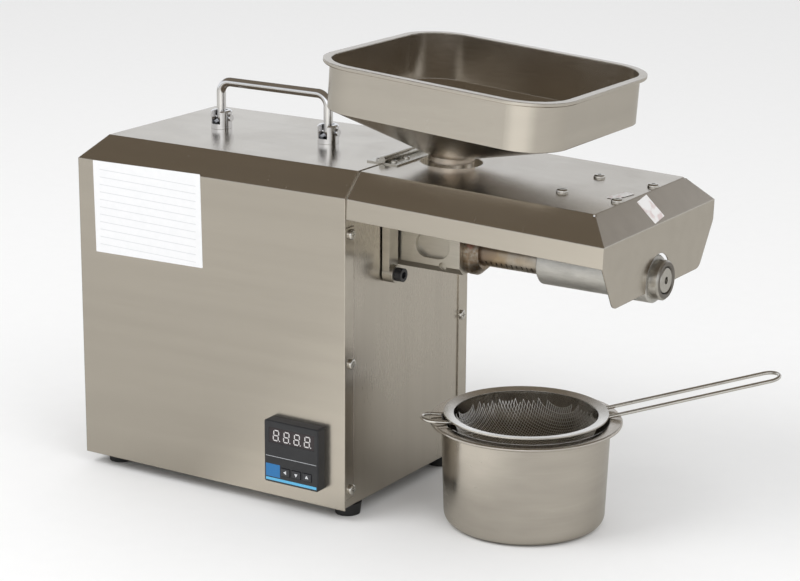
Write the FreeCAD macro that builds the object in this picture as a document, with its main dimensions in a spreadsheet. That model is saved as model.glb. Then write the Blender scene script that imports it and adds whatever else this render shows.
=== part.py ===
import FreeCAD, Part
import os
import re
import Sketcher

# Screw oil press. Millimetres, +X towards the nose of the press, -Y towards the
# operator, +Z up. The origin lies on the table, in the middle of the four feet.

doc = FreeCAD.newDocument("ScrewOilPress")
sheet = doc.addObject("Spreadsheet::Sheet", "Sizes")
names = []
X_AXIS = FreeCAD.Vector(1, 0, 0)
Y_AXIS = FreeCAD.Vector(0, 1, 0)
Z_AXIS = FreeCAD.Vector(0, 0, 1)


# ---------------------------------------------------------------- helpers
def size(name, amount):
    """One named size: a plain number, or a formula over the sizes above it."""
    row = str(len(names) + 1)
    sheet.set("A" + row, name)
    text = bound(amount) if isinstance(amount, str) else str(amount)
    sheet.set("B" + row, "=" + text if isinstance(amount, str) else text)
    sheet.setAlias("B" + row, name)
    names.append(name)


def bound(text):
    """The same formula with every size name pointing into the sheet."""
    def point(match):
        word = match.group(0)
        return "Sizes." + word if word in names else word
    return re.sub(r"[a-z][a-z0-9_]*", point, str(text))


def bind(thing, prop, text):
    thing.setExpression(prop, bound(text))


def seat(thing, x="0", y="0", z="0"):
    for axis, text in zip("xyz", (x, y, z)):
        bind(thing, "Placement.Base." + axis, text)


def block(name, x, y, z):
    """Box between two planes on each axis, each pair written (low, high)."""
    solid = doc.addObject("Part::Box", name)
    for prop, (low, high) in zip(("Length", "Width", "Height"), (x, y, z)):
        bind(solid, prop, "(" + high + ") - (" + low + ")")
    seat(solid, x[0], y[0], z[0])
    return solid


TURNS = {
    "x": FreeCAD.Rotation(Y_AXIS, 90),
    "y": FreeCAD.Rotation(X_AXIS, -90),
    "z": FreeCAD.Rotation(),
}


def rod(name, axis, radius, low, high, at, radius2=None):
    """Cylinder or cone along one axis; 'at' is its centre on the other two."""
    kind = "Part::Cylinder" if radius2 is None else "Part::Cone"
    solid = doc.addObject(kind, name)
    solid.Placement = FreeCAD.Placement(FreeCAD.Vector(), TURNS[axis])
    if radius2 is None:
        bind(solid, "Radius", radius)
    else:
        bind(solid, "Radius1", radius)
        bind(solid, "Radius2", radius2)
    bind(solid, "Height", "(" + high + ") - (" + low + ")")
    spot = dict(zip([a for a in "xyz" if a != axis], at))
    spot[axis] = low
    seat(solid, spot["x"], spot["y"], spot["z"])
    return solid


def fuse(name, solids):
    if len(solids) == 1:
        return solids[0]
    joined = doc.addObject("Part::MultiFuse", name)
    joined.Shapes = solids
    return joined


def cut(name, base, tools):
    result = doc.addObject("Part::Cut", name)
    result.Base = base
    result.Tool = fuse(name + "_tools", tools)
    return result


def group(name, solids):
    """Separate like pieces kept as one sub-part."""
    result = doc.addObject("Part::Compound", name)
    result.Links = solids
    return result


def body(name):
    return doc.addObject("PartDesign::Body", name)


PLANES = {"z": "XY_Plane", "y": "XZ_Plane", "x": "YZ_Plane"}


def sketch_on(owner, name, axis, level):
    """Empty sketch square to an axis, at a level on that axis."""
    sketch = owner.newObject("Sketcher::SketchObject", name)
    planes = [f for f in owner.Origin.OriginFeatures if f.Role == PLANES[axis]]
    sketch.AttachmentSupport = (planes[0], "")
    sketch.MapMode = "FlatFace"
    sign = "-" if axis == "y" else ""
    bind(sketch, "AttachmentOffset.Base.z", sign + "(" + level + ")")
    return sketch


def pin_point(sketch, geometry, end, spot, start=(1.0, 1.0)):
    for kind, text, first in zip(("DistanceX", "DistanceY"), spot, start):
        index = sketch.addConstraint(Sketcher.Constraint(kind, -1, 1, geometry, end, first))
        bind(sketch, "Constraints[" + str(index) + "]", text)


def add_loop(sketch, points):
    """Closed outline of straight edges through the given points."""
    count = len(points)
    first = sketch.GeometryCount
    for i in range(count):
        a = FreeCAD.Rotation(Z_AXIS, 360.0 * i / count).multVec(X_AXIS * 9)
        b = FreeCAD.Rotation(Z_AXIS, 360.0 * (i + 1) / count).multVec(X_AXIS * 9)
        sketch.addGeometry(Part.LineSegment(a, b))
    for i in range(count):
        follower = first + (i + 1) % count
        sketch.addConstraint(Sketcher.Constraint("Coincident", first + i, 2, follower, 1))
    for i, spot in enumerate(points):
        pin_point(sketch, first + i, 1, spot)


def add_ring(sketch, centre, radius):
    index = sketch.addGeometry(Part.Circle(FreeCAD.Vector(1, 1, 0), Z_AXIS, 2.0))
    pin_point(sketch, index, 3, centre)
    number = sketch.addConstraint(Sketcher.Constraint("Radius", index, 2.0))
    bind(sketch, "Constraints[" + str(number) + "]", radius)


def add_edges(sketch, corners, arcs):
    """Closed outline; each corner is (x, y, x text, y text), each arc (centre, size name)."""
    first = sketch.GeometryCount
    count = len(corners)
    for i, corner in enumerate(corners):
        start = FreeCAD.Vector(corner[0], corner[1], 0)
        after = corners[(i + 1) % count]
        end = FreeCAD.Vector(after[0], after[1], 0)
        if arcs[i] is None:
            sketch.addGeometry(Part.LineSegment(start, end))
            continue
        centre, name = arcs[i]
        middle = FreeCAD.Vector(centre[0], centre[1], 0)
        bulge = ((start + end) / 2 - middle).normalize() * got(name)
        sketch.addGeometry(Part.Arc(start, middle + bulge, end))
    for i in range(count):
        follower = first + (i + 1) % count
        sketch.addConstraint(Sketcher.Constraint("Coincident", first + i, 2, follower, 1))
    for i, corner in enumerate(corners):
        pin_point(sketch, first + i, 1, corner[2:], corner[:2])
        if arcs[i] is not None:
            number = sketch.addConstraint(Sketcher.Constraint("Radius", first + i, got(arcs[i][1])))
            bind(sketch, "Constraints[" + str(number) + "]", arcs[i][1])


def add_stadium(sketch, x, y, half_length, radius):
    """Slot with round ends; the four sizes are given by name."""
    m, n, a, r = (got(name) for name in (x, y, half_length, radius))
    corners, arcs = [], []
    for sign, way in ((1, "+"), (-1, "-")):
        inner = "{} {} ({} - {})".format(x, way, half_length, radius)
        centre = (m + sign * (a - r), n)
        corners += [
            (m + sign * (a - r), n - sign * r, inner, "{} {} {}".format(y, "-" if sign > 0 else "+", radius)),
            (m + sign * a, n, "{} {} {}".format(x, way, half_length), y),
            (m + sign * (a - r), n + sign * r, inner, "{} {} {}".format(y, way, radius)),
        ]
        arcs += [(centre, radius), (centre, radius), None]
    add_edges(sketch, corners, arcs)


def rectangle(a, b):
    """Corner points of a rectangle from two (low, high) pairs."""
    return [(a[0], b[0]), (a[1], b[0]), (a[1], b[1]), (a[0], b[1])]


def extrude(owner, kind, name, axis, reach, loops=(), rings=()):
    """Pad or Pocket between two levels of an axis."""
    low, high = reach
    ends = {"Pad": {"x": low, "z": low, "y": high}, "Pocket": {"x": high, "z": high, "y": low}}
    sketch = sketch_on(owner, name + "_sketch", axis, ends[kind][axis])
    for points in loops:
        add_loop(sketch, points)
    for centre, radius in rings:
        add_ring(sketch, centre, radius)
    feature = owner.newObject("PartDesign::" + kind, name)
    feature.Profile = sketch
    bind(feature, "Length", "(" + high + ") - (" + low + ")")
    sketch.Visibility = False
    doc.recompute()
    return feature


def spin(owner, kind, name, points, line="H_Axis"):
    """Revolution or Groove of an outline in the XZ plane."""
    sketch = sketch_on(owner, name + "_sketch", "y", "0")
    add_loop(sketch, points)
    feature = owner.newObject("PartDesign::" + kind, name)
    feature.Profile = sketch
    feature.ReferenceAxis = (sketch, [line])
    feature.Angle = 360
    sketch.Visibility = False
    doc.recompute()
    return feature


def edges_where(shape, test):
    """Names of the edges whose bounding box passes a test."""
    return ["Edge" + str(i + 1) for i, edge in enumerate(shape.Edges) if test(edge.BoundBox)]


def dress(owner, kind, name, base, test, text):
    """Fillet or Chamfer on chosen edges of a feature."""
    feature = owner.newObject("PartDesign::" + kind, name)
    feature.Base = (base, edges_where(base.Shape, test))
    bind(feature, "Radius" if kind == "Fillet" else "Size", text)
    doc.recompute()
    return feature


def hollow(owner, name, base, open_faces, text):
    """Even wall inside a solid, with some of its faces left open."""
    feature = owner.newObject("PartDesign::Thickness", name)
    chosen = []
    for i, face in enumerate(base.Shape.Faces):
        normal = face.normalAt(0, 0)
        if any((normal - way).Length < 0.01 for way in open_faces):
            chosen.append("Face" + str(i + 1))
    feature.Base = (base, chosen)
    bind(feature, "Value", text)
    feature.Reversed = True
    feature.Join = 1
    doc.recompute()
    return feature


def got(name):
    return float(sheet.get(name))


def lies(low, high, value, slack=0.05):
    return abs(low - value) < slack and abs(high - value) < slack


def tip_over(thing, x, z, angle, y="0"):
    """Set a sub-part down at a point, leaning about the Y axis through it."""
    thing.Placement = FreeCAD.Placement(FreeCAD.Vector(), FreeCAD.Rotation(Y_AXIS, 1))
    bind(thing, "Placement.Rotation.Angle", angle)
    seat(thing, x, y, z)


# ------------------------------------------------------- driving dimensions
SIZES = {
    "foot_pitch_x": 214,  # between feet, front to back
    "foot_pitch_y": 130,  # between feet, side to side
    "foot_radius": 10.5,
    "foot_height": 9,
    "foot_front_inset": 11,  # front foot centre behind the casing front
    "foot_rear_inset": 18,
    "casing_width": 171,
    "barrel_height": 197,  # axis of the press barrel above the table
    "casing_above": 64,  # casing top above the barrel axis
    "casing_chamfer": 17,  # leg of the 45 degree top edges
    "casing_sheet": 1,
    "flange_width": 12,  # inward lips at the casing front
    "panel_sheet": 1.5,  # front panel behind the lips
    "fit_gap": 0.4,  # play between pieces that are put together by hand
    "running_gap": 0.05,  # radial clearance of a shaft in its hole
    "screw_radius": 2,  # M4
    "screw_head_radius": 3.9,
    "screw_head_height": 2.2,
    "casing_front": "foot_pitch_x/2 + foot_front_inset",
    "casing_rear": "-foot_pitch_x/2 - foot_rear_inset",
    "casing_top": "barrel_height + casing_above",
    "half_width": "casing_width/2",
    "inner_half": "half_width - casing_sheet",
    "panel_front": "casing_front - casing_sheet",
    "panel_back": "panel_front - panel_sheet",
    "seat_length": 57,  # feed block in front of the casing
    "seat_half_width": 22.2,
    "seat_below": 15.6,  # block underside below the axis
    "seat_above": 29,
    "seat_chamfer": 5.3,
    "bore_radius": 8.6,  # pressing bore
    "cage_radius": 10.5,
    "sleeve_radius": 16.5,
    "cage_show": 49,  # slotted tube left bare between collar and sleeve
    "collar_length": 10,
    "sleeve_length": 87.5,
    "nut_radius": 14.2,
    "nut_length": 8,
    "thread_radius": 12.5,
    "thread_length": 14,
    "seat_front": "casing_front + seat_length",
    "collar_front": "seat_front + collar_length",
    "sleeve_rear": "collar_front + cage_show",
    "sleeve_front": "sleeve_rear + sleeve_length",
    "nut_front": "sleeve_front + nut_length",
    "seat_bottom": "barrel_height - seat_below",
    "seat_top": "barrel_height + seat_above",
    "neck_offset": 36,  # hopper neck in front of the casing
    "neck_radius": 17.2,
    "neck_x": "casing_front + neck_offset",
    # Casing shell
    "lip_low": "foot_height + 8",  # the lips stop above the bottom edge
    "lip_high": "foot_height + 213",
    "controller_side": 48,
    "controller_front_inset": 17.8,  # bezel edge behind the casing front
    "controller_bottom": "foot_height + 13.6",
    "controller_proud": 8.8,
    "controller_cutout": 45,  # square hole in the sheet
    "controller_x": "casing_front - controller_front_inset - controller_side/2",
    "controller_z": "controller_bottom + controller_side/2",
    "cutout_half": "controller_cutout/2",
    "vent_length": 46,
    "vent_height": 3,
    "vent_step": 9,
    "vent_low": "foot_height + 96",
    "inlet_y": 44,
    "inlet_z": "foot_height + 34",
    "inlet_width": 27.2,
    "inlet_height": 19.6,
    "switch_y": -8,  # first rocker; the second lies one step further
    "switch_step": 34,
    "switch_width": 13.2,
    "switch_height": 19.2,
    "lip_screw_inset": 8.2,  # from the outer side face
    "lip_screw_low": "foot_height + 14.6",
    "lip_screw_step": 96.4,
    # Front panel
    "panel_half": "inner_half - fit_gap",
    "panel_low": "foot_height + 1.6",
    "panel_high": "casing_top - casing_sheet - fit_gap",
    "panel_fold": "casing_chamfer - 0.4*casing_sheet",
    "shaft_radius": 6,
    "shaft_hole": "shaft_radius + 2",
    "seat_bolt_y": 15,
    "seat_bolt_z": 10,
    "seat_bolt_radius": 3,
    "yoke_y": 30.5,  # clamp arms either side of the block
    "yoke_boss_z": 178,
    "clamp_screw_radius": 3,
    # Base pan
    "pan_rear": "casing_rear + casing_sheet + fit_gap",
    "pan_front": "panel_back - fit_gap",
    "pan_half": "inner_half - fit_gap",
    "pan_lip": 12,
    # Carry handle
    "handle_span": 99,  # between the cups, along the casing
    "cup_radius": 8.2,
    "cup_height": 14,
    "cup_slot": 7.6,
    "bail_radius": 3.5,
    "bail_rise": 36.5,  # bar centre above the casing top
    "pin_radius": 1.6,
    "handle_middle": "(casing_front + casing_rear)/2",
    "pin_z": "casing_top + 8.6",
    "bail_top": "casing_top + bail_rise",
    "bail_bend": 9,
    # Temperature controller
    "bezel_face": "-half_width - controller_proud",
    "bezel_left": "controller_x - controller_side/2",
    "bezel_right": "controller_x + controller_side/2",
    "bezel_top": "controller_bottom + controller_side",
    "case_half": 22.2,
    "key_pitch": 9.6,
    "key_first": "bezel_left + 19.3",
    "key_z": "bezel_top - 38.1",
    "key_width": 7.6,
    "key_height": 5.6,
    "key_proud": 0.7,
    "key_well": 3.2,
    # Inlet and rear switches
    "rocker_pivot_x": "casing_rear + 2",
    "rocker_radius": 8.2,
    "rocker_lean": 8,  # degrees from level to either stop
    # Motor and gear reducer
    "case_length": 52,
    "case_wall": 4,
    "case_half_width": 42,
    "stage_two": 45,  # output axis to layshaft axis
    "stage_one": 35,  # layshaft axis to motor axis
    "output_gear_radius": 35.6,
    "lay_pinion_radius": 9.1,
    "lay_gear_radius": 29.7,
    "motor_pinion_radius": 5,
    "motor_radius": 39,
    "motor_length": 96,
    "motor_shaft_radius": 4,
    "lay_height": "barrel_height - stage_two",
    "motor_height": "lay_height - stage_one",
    "case_front": "panel_back",
    "case_rear": "case_front - case_length",
    "case_low": "motor_height - 14",
    "case_high": "barrel_height + output_gear_radius + 8",
    "case_lid": 5,
    "motor_rear": "case_rear - motor_length",
    "output_gear_rear": "case_rear + case_wall + 7",
    "lay_gear_rear": "output_gear_rear + 15",
    "board_z": "foot_height + 8",
    # Pressing barrel
    "inlet_depth": 9.6,
    "neck_play": 0.9,
    "neck_sink": 6.9,  # neck end below the top of the feed block
    "neck_length": "(casing_top - seat_top + neck_sink)/cos(hopper_lean*1deg)",
    "hopper_lean": 4,  # degrees, front down
    "throat_radius": 12,
    "throat_x": "neck_x - (neck_length - inlet_depth/2)*sin(hopper_lean*1deg)",
    "recess_x": "casing_front + 33.9",
    "recess_z": "barrel_height + 4",
    "recess_half_length": 14.3,
    "recess_radius": 9.2,
    "recess_depth": 4,
    "cross_hole_x": "casing_front + 42.3",
    "cross_hole_z": "seat_bottom + seat_chamfer",
    "yoke_thick": 6,
    "yoke_half": 6,  # half the width of an arm
    "boss_radius": 6.6,
    "clamp_face": "casing_front + yoke_thick + 3",
    "cage_rear": "seat_front - 11.8",
    "cage_front": "sleeve_front - thread_length",
    "slot_width": 1.1,
    "slot_step": 4.2,
    "slot_first": "collar_front + 4",
    "choke_radius": 9.6,  # bore of the end nut round the shaft end
    "flight_radius": 8.2,
    "flight_pitch": 13.5,
    "flight_turns": 13,
    "flight_start": "casing_front + 18",
    "core_start": 5.4,
    "core_end": 6.9,
    "screw_rear": "casing_front + 2.5",
    "flight_end": "flight_start + flight_pitch*flight_turns",
    # Cover hinge
    "seam_gap": 2.2,
    "knuckle_radius": 2.6,
    "hinge_half": 39,
    "leaf_width": 13,
    "leaf_sheet": 1,
    "hinge_drop": "knuckle_radius + 0.1",  # pin above the sheets
    "hinge_x": "casing_front + seam_gap/2",
    "hinge_z": "casing_top + hinge_drop",
    "hinge_pin_radius": 1.3,
    "leaf_screw_radius": 1.5,
    "leaf_head_radius": 2.7,
    "leaf_head_height": 1.3,
    "leaf_screw_x": 6.2,
    "leaf_screw_inner": 16,
    "leaf_screw_outer": 32.8,
    "cover_droop": 1.8,  # degrees, front of the cover down
    # Top cover
    "cover_length": 205.6,  # from the hinge pin
    "cover_skirt": 15,
    "plate_drop": 32,  # front plate below the skirts
    "plate_slant": 19,  # narrowing of the front plate on each side
    "plate_corner": 8,
    "notch_radius": "sleeve_radius + 2",
    "neck_hole_radius": 23,
    "cover_screw_inset": 64.1,  # rear pair behind the cover's front edge
    "cover_screw_x": "cover_length - cover_screw_inset",
    "cover_screw_step": 42.7,
    "cover_screw_y": 27.4,
    "cover_top": "-hinge_drop",
    "cover_low": "cover_top - casing_chamfer - cover_skirt",
    "plate_low": "cover_low - plate_drop",
    "notch_z": "(barrel_height - hinge_z + cover_length*sin(cover_droop*1deg))/cos(cover_droop*1deg)",
    # Hopper
    "pan_half_length": 100,
    "pan_half_breadth": 85,
    "pan_corner": 37,
    "rim_width": 5,
    "rim_height": 74,  # above the cover
    "wall_height": 35.3,
    "neck_top": 4.5,
    "pan_shift": 22.4,  # tray centre in front of the neck
    "pan_sheet": 1,
    "wall_half_length": "pan_half_length - rim_width",
    "wall_half_breadth": "pan_half_breadth - rim_width",
    "wall_corner": "pan_corner - rim_width",
    "fold_height": "rim_height - wall_height",
    "room_half_length": "wall_half_length - pan_sheet",
    "room_half_breadth": "wall_half_breadth - pan_sheet",
    "room_corner": "wall_corner - pan_sheet",
    "neck_bore": "neck_radius - pan_sheet",
    "roll_radius": 1.5,
    "roll_half_length": "pan_half_length - roll_radius",
    "roll_half_breadth": "pan_half_breadth - roll_radius",
    "roll_corner": "pan_corner - roll_radius",
    # Pot and strainer
    "pot_x": "casing_front + 105.6",
    "pot_y": -6,
    "pot_height": 79,
    "pot_low_radius": 59,
    "pot_top_radius": 62,
    "pot_rim_radius": 69.6,
    "pot_sheet": 0.9,
    "pot_corner": 8,
    "strainer_outer": 60.2,
    "strainer_inner": 52.8,
    "strainer_depth": 38,
    "mesh_sheet": 0.8,
    "wire_radius": 1.4,
    "wire_half_gap": 9.5,
    "wire_start": 54.6,
    "handle_reach": 192,  # from the pot's axis
    "handle_turn": 40,  # degrees from +X towards +Y
    "handle_rise": 10.8,  # degrees
    "loop_reach": 77,
    "loop_rise": 5,
    "strainer_z": "pot_height + 2.8",
}
for name, amount in SIZES.items():
    size(name, amount)
doc.recompute()

# ------------------------------------------------------------ casing shell
# Side walls, top and back of one folded sheet, chamfered along three top edges.
shell = body("casing_shell")
sheet_block = extrude(
    shell, "Pad", "ShellBlock", "z", ("foot_height", "casing_top"),
    [rectangle(("casing_rear", "casing_front"), ("-half_width", "half_width"))],
)
top = got("casing_top")
folds = dress(
    shell, "Chamfer", "ShellFolds", sheet_block,
    lambda b: lies(b.ZMin, b.ZMax, top) and not lies(b.XMin, b.XMax, got("casing_front")),
    "casing_chamfer",
)
skin = hollow(shell, "ShellSkin", folds, [X_AXIS, -Z_AXIS], "casing_sheet")
for side, near, far in (("Near", "-inner_half - 0.5", "-half_width + flange_width"),
                        ("Far", "half_width - flange_width", "inner_half + 0.5")):
    extrude(
        shell, "Pad", "Lip" + side, "x", ("panel_front", "casing_front"),
        [rectangle((near, far), ("lip_low", "lip_high"))],
    )

# Openings in the near wall and the back: controller, vents, inlet, switches.
extrude(
    shell, "Pocket", "ControllerHole", "y", ("-half_width - 1", "-half_width + 3"),
    [rectangle(("controller_x - cutout_half", "controller_x + cutout_half"),
               ("controller_z - cutout_half", "controller_z + cutout_half"))],
)
back_holes = [rectangle(("inlet_y - inlet_width/2", "inlet_y + inlet_width/2"),
                        ("inlet_z - inlet_height/2", "inlet_z + inlet_height/2"))]
switch_places = ("switch_y", "switch_y - switch_step")
for place in switch_places:
    back_holes.append(rectangle((place + " - switch_width/2", place + " + switch_width/2"),
                                ("inlet_z - switch_height/2", "inlet_z + switch_height/2")))
for column in ("-28", "28"):
    for row in range(9):
        level = "vent_low + vent_step*" + str(row)
        back_holes.append(rectangle((column + " - vent_length/2", column + " + vent_length/2"),
                                    (level, level + " + vent_height")))
extrude(shell, "Pocket", "BackOpenings", "x", ("casing_rear - 1", "casing_rear + 3"), back_holes)

# Six pan-head screws hold the front panel against the lips.
lip_spots = []
for side in ("-(half_width - lip_screw_inset)", "half_width - lip_screw_inset"):
    for row in range(3):
        lip_spots.append((side, "lip_screw_low + lip_screw_step*" + str(row)))
extrude(
    shell, "Pocket", "LipScrewHoles", "x", ("panel_front - 0.5", "casing_front + 1"),
    rings=[(spot, "screw_radius + running_gap") for spot in lip_spots],
)


def pan_screw(name, axis, head_sign, face, at, length, radius="screw_radius",
              head="screw_head_radius", height="screw_head_height"):
    """Pan-head cross-recess screw; its head stands proud of 'face' on one side."""
    out = face + " + " + height if head_sign > 0 else face + " - (" + height + ")"
    tip = face + " - (" + length + ")" if head_sign > 0 else face + " + " + length
    low, high = (face, out) if head_sign > 0 else (out, face)
    cap = rod(name + "_cap", axis, head, low, high, at)
    dome = doc.addObject("Part::Fillet", name + "_dome")
    dome.Base = cap
    doc.recompute()
    index = "xyz".index(axis)
    outer = [i + 1 for i, e in enumerate(cap.Shape.Edges)
             if e.isClosed() and ((e.CenterOfMass - cap.Shape.CenterOfMass)[index] * head_sign > 0)]
    dome.Edges = [(i, 1.4 * got(height) / 2.2, 1.4 * got(height) / 2.2) for i in outer]
    low, high = (tip, face) if head_sign > 0 else (face, tip)
    shank = rod(name + "_shank", axis, radius, low, high, at)
    recess = []
    for across in (0, 1):
        reach = [("0", "0")] * 3
        reach[index] = (out + " - 1.1", out + " + 1") if head_sign > 0 else (out + " - 1", out + " + 1.1")
        others = [i for i in range(3) if i != index]
        wide, thin = (others[across], others[1 - across])
        spot = dict(zip(others, at))
        reach[wide] = (spot[wide] + " - 1.9", spot[wide] + " + 1.9")
        reach[thin] = (spot[thin] + " - 0.4", spot[thin] + " + 0.4")
        recess.append(block(name + "_slot" + str(across), *reach))
    return cut(name, fuse(name + "_solid", [dome, shank]), recess)


lip_screws = [
    pan_screw("LipScrew" + str(i + 1), "x", 1, "casing_front", spot, "6")
    for i, spot in enumerate(lip_spots)
]
casing_screws = group("casing_screws", lip_screws)

# -------------------------------------------------------------- front panel
# Flat plate behind the lips, cut to the chamfered outline of the shell.
panel = body("front_panel")
outline = [
    ("-panel_half", "panel_low"),
    ("panel_half", "panel_low"),
    ("panel_half", "panel_high - panel_fold"),
    ("panel_half - panel_fold", "panel_high"),
    ("-panel_half + panel_fold", "panel_high"),
    ("-panel_half", "panel_high - panel_fold"),
]
extrude(panel, "Pad", "PanelPlate", "x", ("panel_back", "panel_front"), [outline])
bolt_spots = [
    (side + "seat_bolt_y", "barrel_height " + level + " seat_bolt_z")
    for side in ("-", "") for level in ("-", "+")
]
holes = [(spot, "screw_radius + running_gap") for spot in lip_spots]
holes += [(spot, "seat_bolt_radius + running_gap") for spot in bolt_spots]
holes.append((("0", "barrel_height"), "shaft_hole"))
for side in ("-", ""):
    holes.append(((side + "yoke_y", "yoke_boss_z"), "clamp_screw_radius + running_gap"))
extrude(panel, "Pocket", "PanelHoles", "x", ("panel_back - 1", "panel_front + 1"), rings=holes)

# ----------------------------------------------------------------- base pan
# Bottom tray with turned-up edges, vented under the motor, on four feet.
tray = body("base_pan")
tray_block = extrude(
    tray, "Pad", "TrayBlock", "z", ("foot_height", "foot_height + pan_lip"),
    [rectangle(("pan_rear", "pan_front"), ("-pan_half", "pan_half"))],
)
hollow(tray, "TraySkin", tray_block, [Z_AXIS], "1.2")
foot_spots = [
    (way + "foot_pitch_x/2", side + "foot_pitch_y/2") for way in ("-", "") for side in ("-", "")
]
slots = [
    rectangle(("-20 + " + str(step), "-16.5 + " + str(step)), ("-35", "35"))
    for step in range(0, 99, 9)
]
extrude(
    tray, "Pocket", "TrayOpenings", "z", ("foot_height - 1", "foot_height + 3"), slots,
    rings=[(spot, "screw_radius + running_gap") for spot in foot_spots],
)

# --------------------------------------------------------------------- feet
feet = []
foot_bolts = []
for i, (x, y) in enumerate(foot_spots):
    tag = str(i + 1)
    puck = rod("FootPuck" + tag, "z", "foot_radius - 1.2", "0", "foot_height", (x, y), "foot_radius")
    well = rod("FootWell" + tag, "z", "4.6", "-1", "5", (x, y))
    bore = rod("FootBore" + tag, "z", "screw_radius + running_gap", "4", "foot_height + 1", (x, y))
    feet.append(cut("Foot" + tag, puck, [well, bore]))
    foot_bolts.append(pan_screw("FootBolt" + tag, "z", -1, "5", (x, y), "9"))
rubber_feet = group("rubber_feet", feet)
foot_screws = group("foot_screws", foot_bolts)

# ------------------------------------------------------------- carry handle
# Two slotted round cups on the casing top; the bail pivots on a pin in each.
cups = []
pins = []
legs = []
for tag, side in (("Rear", "-"), ("Front", "")):
    x = "handle_middle " + (side or "+") + " handle_span/2"
    stub = rod("CupBarrel" + tag, "z", "cup_radius", "casing_top", "casing_top + cup_height", (x, "0"))
    rim = doc.addObject("Part::Chamfer", "CupRim" + tag)
    rim.Base = stub
    doc.recompute()
    rim.Edges = [(i + 1, 1.0, 1.0) for i, e in enumerate(stub.Shape.Edges)
                 if lies(e.BoundBox.ZMin, e.BoundBox.ZMax, got("casing_top") + got("cup_height"))]
    gap = block("CupSlot" + tag, (x + " - cup_slot/2", x + " + cup_slot/2"),
                ("-12", "bail_radius + 0.5"), ("casing_top + 4", "casing_top + 20"))
    eye = rod("CupEye" + tag, "x", "pin_radius + 0.02", x + " - 12", x + " + 12", ("0", "pin_z"))
    cups.append(cut("Cup" + tag, rim, [gap, eye]))
    stem = rod("PinStem" + tag, "x", "pin_radius", x + " - 8.4", x + " + 8.4", ("0", "pin_z"))
    knob = rod("PinHead" + tag, "x", "2.7", x + " + 8.4", x + " + 9.6", ("0", "pin_z"))
    pins.append(fuse("Pin" + tag, [stem, knob]))
    leg = rod("BailLeg" + tag, "z", "bail_radius", "pin_z", "bail_top - bail_bend", (x, "0"))
    tip = doc.addObject("Part::Sphere", "BailTip" + tag)
    bind(tip, "Radius", "bail_radius")
    seat(tip, x, "0", "pin_z")
    hole = rod("BailEye" + tag, "x", "pin_radius + running_gap", x + " - 9", x + " + 9", ("0", "pin_z"))
    legs.append(cut("BailFoot" + tag, fuse("BailLimb" + tag, [leg, tip]), [hole]))
handle_cups = group("handle_cups", cups)
handle_pins = group("handle_pins", pins)
bends = []
for tag, side, turn in (("Rear", "-", 180), ("Front", "", 90)):
    bend = doc.addObject("Part::Torus", "BailBend" + tag)
    bind(bend, "Radius1", "bail_bend")
    bind(bend, "Radius2", "bail_radius")
    bend.Angle3 = 90
    stand = FreeCAD.Rotation(X_AXIS, 90)
    bend.Placement = FreeCAD.Placement(FreeCAD.Vector(), FreeCAD.Rotation(Y_AXIS, -turn + 90).multiply(stand))
    x = "handle_middle " + (side or "+") + " (handle_span/2 - bail_bend)"
    seat(bend, x, "0", "bail_top - bail_bend")
    bends.append(bend)
bar = rod("BailBar", "x", "bail_radius", "handle_middle - handle_span/2 + bail_bend",
          "handle_middle + handle_span/2 - bail_bend", ("0", "bail_top"))
carry_handle = fuse("carry_handle", legs + bends + [bar])

# --------------------------------------------------- temperature controller
# Square instrument pushed through the near wall and held by a clip behind it.
bezel = body("controller_bezel")
bezel_block = extrude(
    bezel, "Pad", "BezelBlock", "y", ("bezel_face", "-half_width"),
    [rectangle(("bezel_left", "bezel_right"), ("controller_bottom", "bezel_top"))],
)
rounded = dress(
    bezel, "Fillet", "BezelCorners", bezel_block,
    lambda b: b.YLength > 1, "1.6",
)
dress(
    bezel, "Chamfer", "BezelRim", rounded,
    lambda b: lies(b.YMin, b.YMax, got("bezel_face")), "0.8",
)
extrude(
    bezel, "Pad", "InstrumentCase", "y", ("-half_width - 0.1", "-half_width + 58"),
    [rectangle(("controller_x - case_half", "controller_x + case_half"),
               ("controller_z - case_half", "controller_z + case_half"))],
)
window_x = ("bezel_left + 4.4", "bezel_left + 44.8")
window_z = ("bezel_top - 16.8", "bezel_top - 5.1")
key_wells = []
for i in range(3):
    middle = "key_first + key_pitch*" + str(i)
    key_wells.append(rectangle((middle + " - key_width/2 - 0.3", middle + " + key_width/2 + 0.3"),
                               ("key_z - key_height/2 - 0.3", "key_z + key_height/2 + 0.3")))
extrude(
    bezel, "Pocket", "KeyWells", "y", ("bezel_face - 1", "bezel_face + key_well"),
    key_wells,
)
extrude(
    bezel, "Pocket", "WindowRecess", "y", ("bezel_face - 1", "bezel_face + 1.2"),
    [rectangle(window_x, window_z)],
)
controller_window = block(
    "controller_window", ("bezel_left + 4.5", "bezel_left + 44.7"),
    ("bezel_face + 0.2", "bezel_face + 1.2"), ("bezel_top - 16.7", "bezel_top - 5.2"),
)
for i, name in enumerate(("key_left", "key_down", "key_up")):
    key = body(name)
    middle = "key_first + key_pitch*" + str(i)
    cap = extrude(
        key, "Pad", "KeyCap" + str(i), "y", ("bezel_face - key_proud", "bezel_face + key_well - 1.2"),
        [rectangle((middle + " - key_width/2", middle + " + key_width/2"),
                   ("key_z - key_height/2", "key_z + key_height/2"))],
    )
    dress(key, "Fillet", "KeyEdge" + str(i), cap,
          lambda b: lies(b.YMin, b.YMax, got("bezel_face") - got("key_proud")), "0.4")
clip_frame = block(
    "ClipFrame", ("controller_x - case_half - 2.5", "controller_x + case_half + 2.5"),
    ("-half_width + casing_sheet", "-half_width + casing_sheet + 9"),
    ("controller_z - case_half - 2.5", "controller_z + case_half + 2.5"),
)
clip_hole = block(
    "ClipHole", ("controller_x - case_half", "controller_x + case_half"),
    ("-half_width", "-half_width + 20"),
    ("controller_z - case_half", "controller_z + case_half"),
)
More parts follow.
